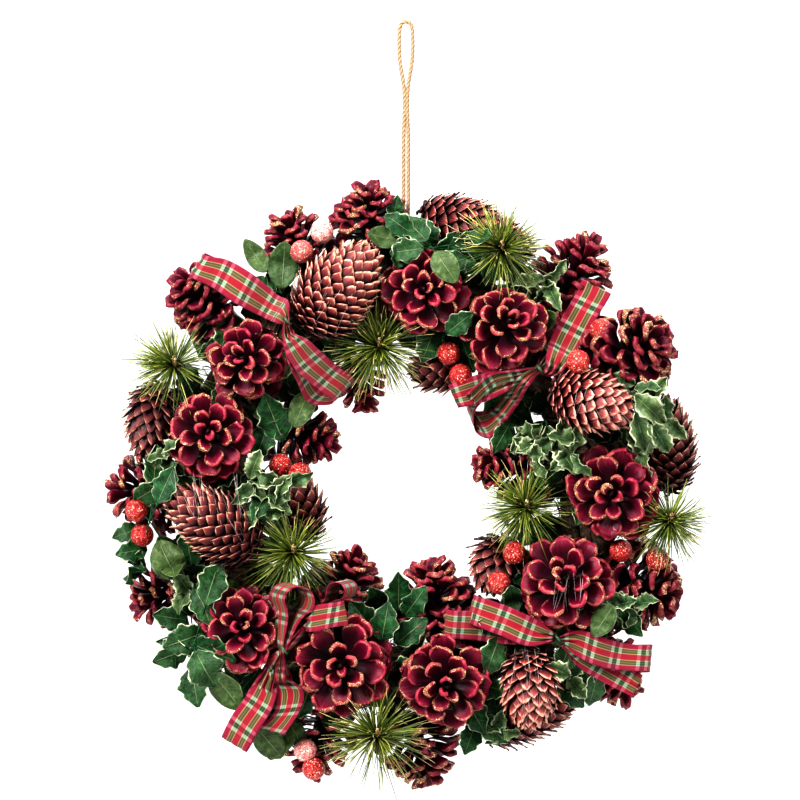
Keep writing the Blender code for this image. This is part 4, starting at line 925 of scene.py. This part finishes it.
# Single leaves laid where gaps would show: middle x and z, length, width, heading, back and kind.
LAID_LEAVES = (
    (-130, -91, 26, 18, 200, -30, "h"), (-112, -98, 29, 20, 340, -30, "h"), (-124, -120, 24, 18, 280, -24, "h"),
    (-139, -78, 21, 14, 170, -26, "h"), (-100, -110, 24, 15, 250, -18, "h"), (-113, -55, 24, 16, 60, -32, "h"),
    (-127, -62, 23, 15, 120, -30, "c"), (-118, -70, 26, 15, 290, -30, "h"), (-163, -39, 19, 13, 190, -14, "h"),
    (-140, -43, 25, 21, 115, -36, "o"), (44, -137, 24, 16, 300, -16, "h"), (55, -146, 23, 15, 320, -14, "h"),
    (59, -147, 18, 12, 200, -18, "c"), (-10, -80, 24, 16, 80, -22, "h"), (-24, -77, 22, 15, 130, -20, "h"),
    (6, -86, 24, 15, 40, -22, "h"), (68, 43, 26, 18, 330, -16, "h"), (58, 50, 24, 16, 220, -14, "h"),
    (16, 86, 24, 16, 250, -22, "h"), (39, 80, 24, 15, 290, -20, "h"), (143, 20, 24, 15, 280, -22, "c"),
    (136, 32, 24, 15, 120, -22, "h"), (-79, -6, 26, 15, 170, -40, "c"), (-91, 4, 26, 14, 200, -38, "c"),
    (-70, 4, 24, 14, 20, -40, "c"), (-84, -12, 22, 13, 250, -36, "c"), (101, -113, 22, 15, 300, -20, "c"),
    (98, -100, 22, 14, 70, -18, "h"), (-58, -127, 24, 15, 250, -18, "h"), (84, 123, 30, 13, 300, -24, "c"),
    (77, 112, 24, 13, 250, -22, "c"), (-139, -101, 22, 15, 200, -24, "h"), (-166, -28, 18, 12, 200, -12, "h"),
    (-4, 167, 16, 10, 80, -14, "h"), (147, 52, 25, 14, 60, -30, "c"), (157, 40, 24, 13, 310, -28, "c"),
    (140, 60, 22, 12, 150, -30, "c"), (88, 30, 26, 15, 200, -32, "c"), (100, 20, 25, 14, 330, -32, "c"),
    (80, 22, 22, 14, 270, -30, "c"), (-73, -152, 27, 16, 240, -18, "o"), (-64, -148, 20, 13, 300, -16, "o"),
    (86, 7, 24, 15, 200, -12, "h"), (74, -27, 24, 15, 160, -10, "h"), (88, -33, 22, 14, 30, -10, "h"),
    (-84, 27, 24, 15, 250, -12, "h"), (-76, -23, 24, 15, 300, -12, "h"), (-128, -37, 24, 15, 100, -12, "h"),
    (-94, -119, 26, 16, 230, -12, "h"), (56, -128, 24, 15, 280, -10, "h"), (102, -124, 22, 14, 310, -12, "h"),
    (41, -152, 20, 13, 250, -8, "h"), (28, 144, 22, 14, 60, -14, "h"), (70, 128, 26, 16, 340, -12, "h"),
    (54, 132, 24, 15, 250, -12, "h"), (14, 149, 26, 18, 290, -14, "h"), (8, 137, 24, 16, 200, -12, "h"),
    (22, 134, 24, 15, 330, -10, "h"), (41, 136, 24, 16, 30, -10, "h"), (54, -101, 24, 16, 250, -18, "h"), (50, -112, 24, 15, 280, -12, "h"), (-60, 60, 24, 15, 300, -10, "h"), (127, -72, 22, 13, 160, -24, "c"), (137, -69, 22, 13, 30, -24, "c"), (110, -74, 20, 12, 250, -20, "c"),
    (78, 27, 20, 12, 90, -34, "c"), (-150, -2, 24, 16, 30, -22, "h"), (-140, 20, 20, 12, 60, -26, "c"),
    (0, 140, 20, 13, 250, -26, "h"), (28, 133, 22, 15, 200, -30, "h"), (60, 30, 22, 14, 240, -12, "h"),
    (-105, 92, 24, 16, 250, -12, "h"), (-128, 62, 24, 15, 280, -12, "h"), (-40, 85, 22, 15, 250, -8, "h"),
    (2, 92, 22, 15, 300, -8, "h"), (-112, 82, 22, 15, 200, -10, "h"),
)
for x, z, length, width, heading, y, kind_of in LAID_LEAVES:
    if kind_of == "c":
        for turned in (0, 130, 230):
            angle = math.radians(heading + turned + chance.uniform(-25, 25))
            way = np.array((math.cos(angle), chance.uniform(-0.5, 0.1), math.sin(angle)))
            root = np.array((x, y, z)) + chance.uniform(-2, 2, 3)
            lie = unit(np.array((chance.uniform(-1, 1), -1.0, chance.uniform(-1, 1))))
            filling.append(leaf(root, root + way * length * 0.35 + (0, -1.5, 0), root + way * length * 0.7, lie, width * 0.40, "c", chance))
        continue
    way = np.array((math.cos(math.radians(heading)), 0.0, math.sin(math.radians(heading))))
    middle = np.array((x, y, z), float)
    lie = unit(np.array((chance.uniform(-0.4, 0.4), -1.0, chance.uniform(-0.4, 0.4))))
    filling.append(leaf(middle - way * length / 2 + (0, 4, 0), middle, middle + way * length / 2 + (0, chance.uniform(-2, 4), 0),
                        lie, width / 2, kind_of, chance))
piece("filling_leaves", filling, LEAF)

MOSS, tree, shader, place, kind = paint("dyed_moss")
finish_with(tree, shader, Base_Color=ramp(tree, kind["X"], (0.0, (0.006, 0.008, 0.003)), (0.6, (0.03, 0.035, 0.010)), (1.0, (0.10, 0.075, 0.03))), Roughness=0.9)
count = 2200
theta = chance.uniform(0, 2 * np.pi, count)
phi = chance.uniform(np.radians(-35), np.radians(215), count)
away = np.stack([np.cos(theta), 0 * theta, np.sin(theta)], -1)
out = away * np.cos(phi)[:, None] + np.array((0.0, -1.0, 0.0)) * np.sin(phi)[:, None]
root = away * RING_RADIUS + out * 18.5
way = unit(out * 0.7 + chance.normal(0, 0.8, (count, 3)))
bow = chance.normal(0, 0.7, (count, 3))
t = np.linspace(0, 1, 5)[None, :, None]
reach = chance.uniform(5, 12, count)[:, None, None]
path = root[:, None] + way[:, None] * t * reach + bow[:, None] * (t * (1 - t)) * reach
strands = tube(path, np.array((0.2, 0.1, 1.0)) + 0 * path, (0.45 * np.array([0.8, 1.0, 0.9, 0.6, 0.2]))[None, :, None], 3)
piece("moss", [part(strands, grid_faces(5, 3), layer((count, 5, 3), 0, t, 0), layer((count, 5, 3), chance.uniform(0, 1, count)[:, None, None], 0, 0))],
      MOSS)


# ---- Glue threads -------------------------------------------------------------------------------
# Hot glue leaves fine whitish threads where the trimmings were pressed on. They sag from scale to
# scale over the cones and knots, and a few gather into a web.

GLUE, tree, shader, place, kind = paint("dry_glue")
finish_with(tree, shader, Base_Color=blend(tree, kind["X"], (0.36, 0.28, 0.27), (0.66, 0.60, 0.58)), Roughness=0.35,
            Transmission_Weight=0.35, Specular_IOR_Level=0.5)
trimmings = solid_of([made for made in bpy.data.objects if made.name.split("_")[0] in ("open", "closed", "leaves", "filling", "berries")])
# Middle x and z, spread along and across, heading and number of threads
WEBS = (
    (-124, -2, 17, 10, 288, 12), (-104, -6, 17, 10, 282, 11), (-92, -24, 14, 8, 290, 6), (77, -108, 17, 12, 272, 20),
    (64, -84, 14, 7, 268, 9), (80, -130, 13, 9, 276, 9), (104, 50, 14, 10, 250, 9), (122, 42, 12, 9, 300, 5),
    (-44, 110, 16, 12, 240, 6), (100, -62, 13, 10, 268, 12), (58, -66, 11, 7, 275, 5),
)
threads = []
for x, z, along, across_it, heading, count in WEBS:
    way = np.array((math.cos(math.radians(heading)), math.sin(math.radians(heading))))
    over = np.array((-way[1], way[0]))
    for thread in range(count):
        middle = np.array((x, z)) + over * chance.uniform(-across_it, across_it) + way * chance.uniform(-0.3, 0.3) * along
        slope = unit(way + over * chance.normal(0, 0.13))
        ends = [middle + slope * along * chance.uniform(0.35, 1.0) * sign for sign in (-1, -0.35, 0.35, 1)]
        hits = [trimmings.ray_cast((px, -300.0, pz), (0.0, 1.0, 0.0))[0] for px, pz in ends]
        if None in hits:
            continue
        depth = np.array([hit.y for hit in hits])
        depth = np.minimum(depth, np.interp((0, 1, 2, 3), (0, 3), depth[[0, 3]])) - 0.4
        line = curve_through(np.stack([[end[0] for end in ends], depth, [end[1] for end in ends]], -1), 14)
        threads.append(tube(line, np.array((0.2, -1.0, 0.1)) + 0 * line, chance.uniform(0.05, 0.10), 3))
threads = np.array(threads)
piece("glue_threads", [part(threads, grid_faces(14, 3), layer(threads.shape[:-1], 0, 0, 0),
                            layer(threads.shape[:-1], chance.uniform(0, 1, len(threads))[:, None, None], 0, 0))], GLUE)


# ---- Ribbon bows --------------------------------------------------------------------------------
# Narrow tartan ribbon, 18 mm wide, woven crimson with olive and gold stripes and pale and dark
# green bars. Each bow is one length, folded into loops, pinched by a wire and left with cut tails.

RIBBON_WIDTH = 18.0

TARTAN, tree, shader, place, kind = paint("tartan_ribbon")
across = add(tree, "MapRange", {"Value": place["X"], "From Min": -1.0, "From Max": 1.0}).outputs[0]


def stripes(tree, edge, gold, green, red):
    """Colour across the ribbon from its four stripe colours, mirrored about the middle."""
    made = add(tree, "ValToRGB", {"Fac": math_node(tree, "ABSOLUTE", math_node(tree, "SUBTRACT", math_node(tree, "MULTIPLY", across, 2.0), 1.0))})
    bar = made.color_ramp
    bar.interpolation = "LINEAR"
    fine = tuple(0.45 * a + 0.45 * b for a, b in zip(gold, green))
    stops = ((0.0, red), (0.20, red), (0.225, gold), (0.255, gold), (0.285, green), (0.385, green), (0.41, fine), (0.44, fine), (0.465, green),
             (0.55, green), (0.58, gold), (0.61, gold), (0.65, edge), (1.0, edge))
    while len(bar.elements) < len(stops):
        bar.elements.new(1.0)
    for element, (position, colour) in zip(bar.elements, stops):
        element.position = position
        element.color = (*colour, 1.0)
    return made.outputs["Color"]


ground = stripes(tree, (0.30, 0.005, 0.038), (0.40, 0.25, 0.11), (0.075, 0.085, 0.032), (0.33, 0.007, 0.026))
mint = stripes(tree, (0.48, 0.10, 0.15), (0.52, 0.58, 0.38), (0.27, 0.46, 0.33), (0.46, 0.08, 0.10))
forest = stripes(tree, (0.20, 0.006, 0.030), (0.13, 0.14, 0.05), (0.008, 0.060, 0.032), (0.24, 0.007, 0.018))
beat = math_node(tree, "ABSOLUTE", math_node(tree, "SUBTRACT", math_node(tree, "FRACT", math_node(tree, "DIVIDE", place["Y"], 17.0)), 0.5))
pale_bar = math_node(tree, "MULTIPLY", spread(tree, beat, 0.225, 0.205), spread(tree, beat, 0.075, 0.095))
dark_bar = spread(tree, beat, 0.090, 0.070)
cloth = blend(tree, math_node(tree, "MULTIPLY", pale_bar, 0.75), ground, mint)
cloth = blend(tree, math_node(tree, "MULTIPLY", dark_bar, 0.9), cloth, forest)
warp = math_node(tree, "SINE", math_node(tree, "MULTIPLY", place["X"], 9.0 * 2 * math.pi / 0.42))
weft = math_node(tree, "SINE", math_node(tree, "MULTIPLY", place["Y"], 2 * math.pi / 0.42))
weave = math_node(tree, "MULTIPLY", warp, weft)
cloth = blend(tree, spread(tree, weave, -1.0, 1.0, 0.25, 0.0), cloth, (0.05, 0.0, 0.01))
finish_with(tree, shader, Base_Color=cloth, Roughness=0.5, Specular_IOR_Level=0.3, Sheen_Weight=0.05)
relief(tree, shader, weave, 0.00012)

# Stations of the bands, from photo measures: left x, left z, right x, right z, back, tilt.
# back is how far behind the front of the frame's bow the middle lies, tilt how much deeper its
# right edge lies than its left.


def band(stations, depth_at, start=0.0):
    """Ribbon through its stations, gathered into pleats where its edges are closer than its width.

    The surface is the blend of its edges at v, plus the normal times pleat * sin(3 pi v), and
    pleat is sqrt(width ** 2 - gap ** 2) / 6, which keeps the cloth's width.
    """
    stations = np.array(stations, float)
    count = 14 * len(stations)
    middle = (stations[:, :2] + stations[:, 2:4]) / 2
    depth = np.array([depth_at(x, z) for x, z in middle]) + stations[:, 4]
    left = np.stack([stations[:, 0], depth - stations[:, 5] / 2, stations[:, 1]], -1)
    right = np.stack([stations[:, 2], depth + stations[:, 5] / 2, stations[:, 3]], -1)
    both = curve_through(np.concatenate([left, right], axis=1), count)
    left, right = both[:, :3], both[:, 3:]
    v = np.linspace(-1, 1, 15)
    flat = left[:, None] * ((1 - v) / 2)[:, None] + right[:, None] * ((1 + v) / 2)[:, None]
    gap = np.linalg.norm(right - left, axis=1)
    pleat = np.sqrt(np.maximum((RIBBON_WIDTH - 2.5) ** 2 - gap ** 2, 0.0)) / 6 + 0.15
    line = (left + right) / 2
    run = unit(np.gradient(line, axis=0))
    normal = unit(np.cross(run, right - left))
    surface = flat + normal[:, None] * (pleat[:, None] * np.sin(3 * np.pi * v + 0.6))[..., None]
    blade = shell(surface, 0.28 + 0 * surface[..., 0])
    travel = start + np.concatenate([[0], np.cumsum(np.linalg.norm(np.diff(line, axis=0), axis=1))])
    shape = blade.shape[:-1]
    area = np.linalg.norm(np.cross(np.gradient(surface, axis=0), np.gradient(surface, axis=1)), axis=-1).sum()
    made = part(blade, grid_faces(count, 30), layer(shape, both_sides(v + 0 * surface[..., 0]), travel[:, None], 0), layer(shape, 0, 0, 0))
    return made, area


BOWS = {
    1: (
        # upper loop: out behind, round its end and home in front
        ((-69, 100, -67, 97, 3, 0), (-84, 103, -76, 116, 8, 0), (-105, 114, -92, 126, 9, 0), (-123, 124.5, -113, 138, 7, 0),
         (-127, 127.5, -118, 140, 3.5, 0), (-125.5, 125.5, -117, 138.5, 0, 0), (-113.5, 119.5, -105, 136, 0, 0), (-100.5, 110.5, -91, 128.5, 0, 0),
         (-84, 102, -75.5, 116, 0, 0), (-72, 97.5, -66.5, 105, 0, 0), (-69, 97, -66.5, 99, 1, 0)),
        # lower loop
        ((-70, 99, -66.5, 99, 1, 0), (-70.5, 91, -65, 92.5, 0, 0), (-69, 82.5, -58, 89.5, 0, 0), (-62.5, 69.5, -47.5, 80.5, 0, 0),
         (-51, 59.5, -38, 72, 0, 0), (-41, 50.5, -28.5, 64, 0.5, 0), (-42.5, 49.5, -30, 62, 4, 0), (-53, 49.5, -39, 62, 7, 0),
         (-62, 62, -52, 76, 7, 0), (-69, 80, -61, 88, 5, 0), (-69.5, 98, -67, 98, 2, 0)),
    ),
    2: (
        ((79, 71, 82, 69, 2, 0), (85, 87, 97, 80, 7, 0), (94, 106, 112, 97, 9, 0), (104, 122.5, 121, 114, 7, 0),
         (108, 125, 125.5, 116, 3.5, 0), (107, 122, 124.5, 114, 0, 0), (100, 109, 116.5, 101, 0, 0), (90, 91, 106.5, 82.5, 0, 0),
         (85.5, 77, 98, 71, 0, 0), (85, 71, 93.5, 67.5, 3, 0), (81, 69.5, 83.5, 68, 5, 0)),
        ((80, 72, 82, 68.5, 2, 0), (69, 66.5, 76, 62, 0, -4), (61, 56, 69, 49.5, 0, -7), (53, 47, 61, 38.5, 0, -8),
         (43, 46, 52, 29, 0, -4), (40, 48.5, 48, 30, 4, 0), (41.5, 59, 46.5, 50, 9, 8), (53, 68.5, 58, 59.5, 9, 8),
         (67.5, 70.8, 71, 64, 6, 6), (79, 71.5, 81.5, 69, 3, 0)),
        ((79, 72, 80.5, 69.5, 3, 0), (60, 70, 64, 58, 10, 0), (42, 66.5, 46, 50, 12, 0), (27.5, 61, 33.5, 47.5, 4, 0)),
    ),
    3: (
        # left front loop
        ((90, -91, 91, -86.5, 1, 0), (78, -94.5, 83, -80.5, 0, 0), (58, -88, 65, -71.5, 0, 0), (40, -81.5, 45, -65, 0, 0),
         (38.5, -81, 43.5, -64.5, 3, 0), (41, -83.5, 46, -67, 7, 0), (60, -90, 66, -74, 8, 0), (88, -92, 90, -87, 4, 0)),
        # left back loop
        ((91, -92, 92, -88, 5, 0), (66, -94, 69, -77, 7, 0), (46, -92, 48, -74.5, 5, 0), (26, -89.5, 27.5, -73, 0, 0),
         (25, -89, 26.5, -72.5, 3, 0), (46, -93, 48, -76, 9, 0), (88, -94, 90, -90, 6, 0)),
        # right front loop
        ((94, -88.5, 95.5, -93, 1, 0), (105, -84.5, 103, -99.5, 0, 0), (118, -88.5, 114, -105, 0, 0), (131, -92.5, 128, -108.5, 0, 0),
         (148.5, -94, 147, -110, 0, 0), (149.5, -94, 148, -110.5, 3, 0), (131, -94, 128, -110, 7, 0), (98, -90, 97, -95, 4, 0)),
        # right back limb with a cut end
        ((95, -90, 95, -95, 3, 0), (113, -95, 105, -107, 6, 0), (131, -103, 121, -117, 6, 0), (144, -112.5, 137.5, -125, 1, 0)),
    ),
    4: (
        # small fold in front of the pinch
        ((-75, -99, -70, -96, 2, 0), (-81, -109, -69, -111, -2, 0), (-80.5, -113.5, -69, -115, -3.5, 0), (-79, -112, -70, -112, 1, 0), (-74, -100, -71, -98, 3, 0)),
        # right band
        ((-76, -100, -71, -98, 2, 0), (-81, -112, -68.5, -112, 0, 0), (-75, -121, -58.5, -121.5, 0, 0), (-76, -133, -60, -131, 0, 0),
         (-86.5, -143, -70.5, -147.5, 0, 0), (-86, -142.5, -70, -146.5, 3.5, 0), (-78, -122, -64, -122, 6, 0), (-75, -101, -71, -99, 4, 0)),
        # left band
        ((-77, -100, -72, -99, 3, 0), (-85, -111, -73, -116, 2, 0), (-91.5, -122, -77, -131, 1, 0), (-101.5, -136, -87, -147, 0, 0),
         (-107.5, -148.5, -92.5, -157.5, 0, 0), (-107, -148, -92, -157, 4, 0), (-96, -128, -82, -138, 7, 0), (-77, -101, -73, -100, 5, 0)),
        # flat tail, cut
        ((-71, -94, -68, -92.5, 2, 0), (-65, -84, -59, -76, 4, 0), (-53, -85, -52, -69.5, 2, 0), (-34, -81.5, -34.5, -66, 0, 0), (-31.5, -81.5, -34.5, -65.5, 0, 0)),
    ),
}
STANDING_LOOPS = ((-60.5, -67, 8.8, (-0.52, 0.84, 0.10)), (-39.5, -61, 5.4, (0.42, 0.90, 0.05)))


def standing_loop(knot, loop, lift):
    """Round loop on its edge, from the knot and back to it, its width along a given direction."""
    x, z, radius, width_way = loop
    middle = np.array((x, z))
    away = unit(middle - np.array((knot[0], knot[2])))
    side = np.array((-away[1], away[0]))
    turn = np.radians(np.linspace(-142, 142, 9))
    round_part = middle + radius * (away * np.cos(turn)[:, None] + side * np.sin(turn)[:, None])
    ends = np.array([(knot[0], knot[2])]) - side * 0.8, np.array([(knot[0], knot[2])]) + side * 0.8
    flat = np.concatenate([ends[0], round_part, ends[1]])
    depth = np.concatenate([[knot[1]], knot[1] - lift * np.sin(np.linspace(0.3, np.pi - 0.3, 9)), [knot[1]]])
    line = curve_through(np.stack([flat[:, 0], depth, flat[:, 1]], -1), 90)
    gather = smooth_step(np.linspace(0, 1, 90), 0.0, 0.18) * smooth_step(np.linspace(1, 0, 90), 0.0, 0.18)
    wide = (0.35 + 0.65 * gather) * RIBBON_WIDTH
    way = unit(np.array(width_way))
    v = np.linspace(0, 1, 11)
    surface = line[:, None] + way * (wide[:, None] * v)[..., None]
    blade = shell(surface, 0.28 + 0 * surface[..., 0])
    travel = np.concatenate([[0], np.cumsum(np.linalg.norm(np.diff(line, axis=0), axis=1))])
    area = np.linalg.norm(np.cross(np.gradient(surface, axis=0), np.gradient(surface, axis=1)), axis=-1).sum()
    made = part(blade, grid_faces(90, 22), layer(blade.shape[:-1], both_sides(2 * v - 1 + 0 * surface[..., 0]), travel[:, None], 0),
                layer(blade.shape[:-1], 0, 0, 0))
    return made, area


KNOTS = {1: (-68, 99), 2: (82, 70.5), 3: (93, -90), 4: (-70, -96)}
for number, bands in BOWS.items():
    depth_at = sight(f"ribbon_bow_{number}")
    made, area, start = [], 0.0, 3.0 * number
    for stations in bands:
        one, its_area = band(stations, depth_at, start)
        made.append(one)
        area += its_area
        start += its_area / RIBBON_WIDTH
    x, z = KNOTS[number]
    knot = np.array((x, depth_at(x, z), z))
    if number == 4:
        for loop in STANDING_LOOPS:
            one, its_area = standing_loop(knot, loop, 9.0)
            made.append(one)
            area += its_area
    bow = piece(f"tartan_bow_{number}", made, TARTAN, [f"ribbon_bow_{number}"])
    turns = np.linspace(0, 2 * np.pi * 2.5, 60)
    ring = knot + np.array((0, 2.5, 0)) + np.array((-0.66, 0, 0.75)) * 3.0 * np.cos(turns)[:, None] + np.array((0, 1.0, 0)) * 4.0 * np.sin(turns)[:, None] \
        + np.array((0.75, 0, 0.66)) * np.linspace(-0.8, 0.8, 60)[:, None]
    tie = tube(ring, np.gradient(ring, axis=0) * 0 + np.array((0.75, 0.1, 0.66)), 0.4, 6)
    tied = piece(f"bow_wire_{number}", [part(tie, grid_faces(60, 6), layer((60, 6), 0, turns[:, None], 0), layer((60, 6), 0, 0, 0))], WIRE)
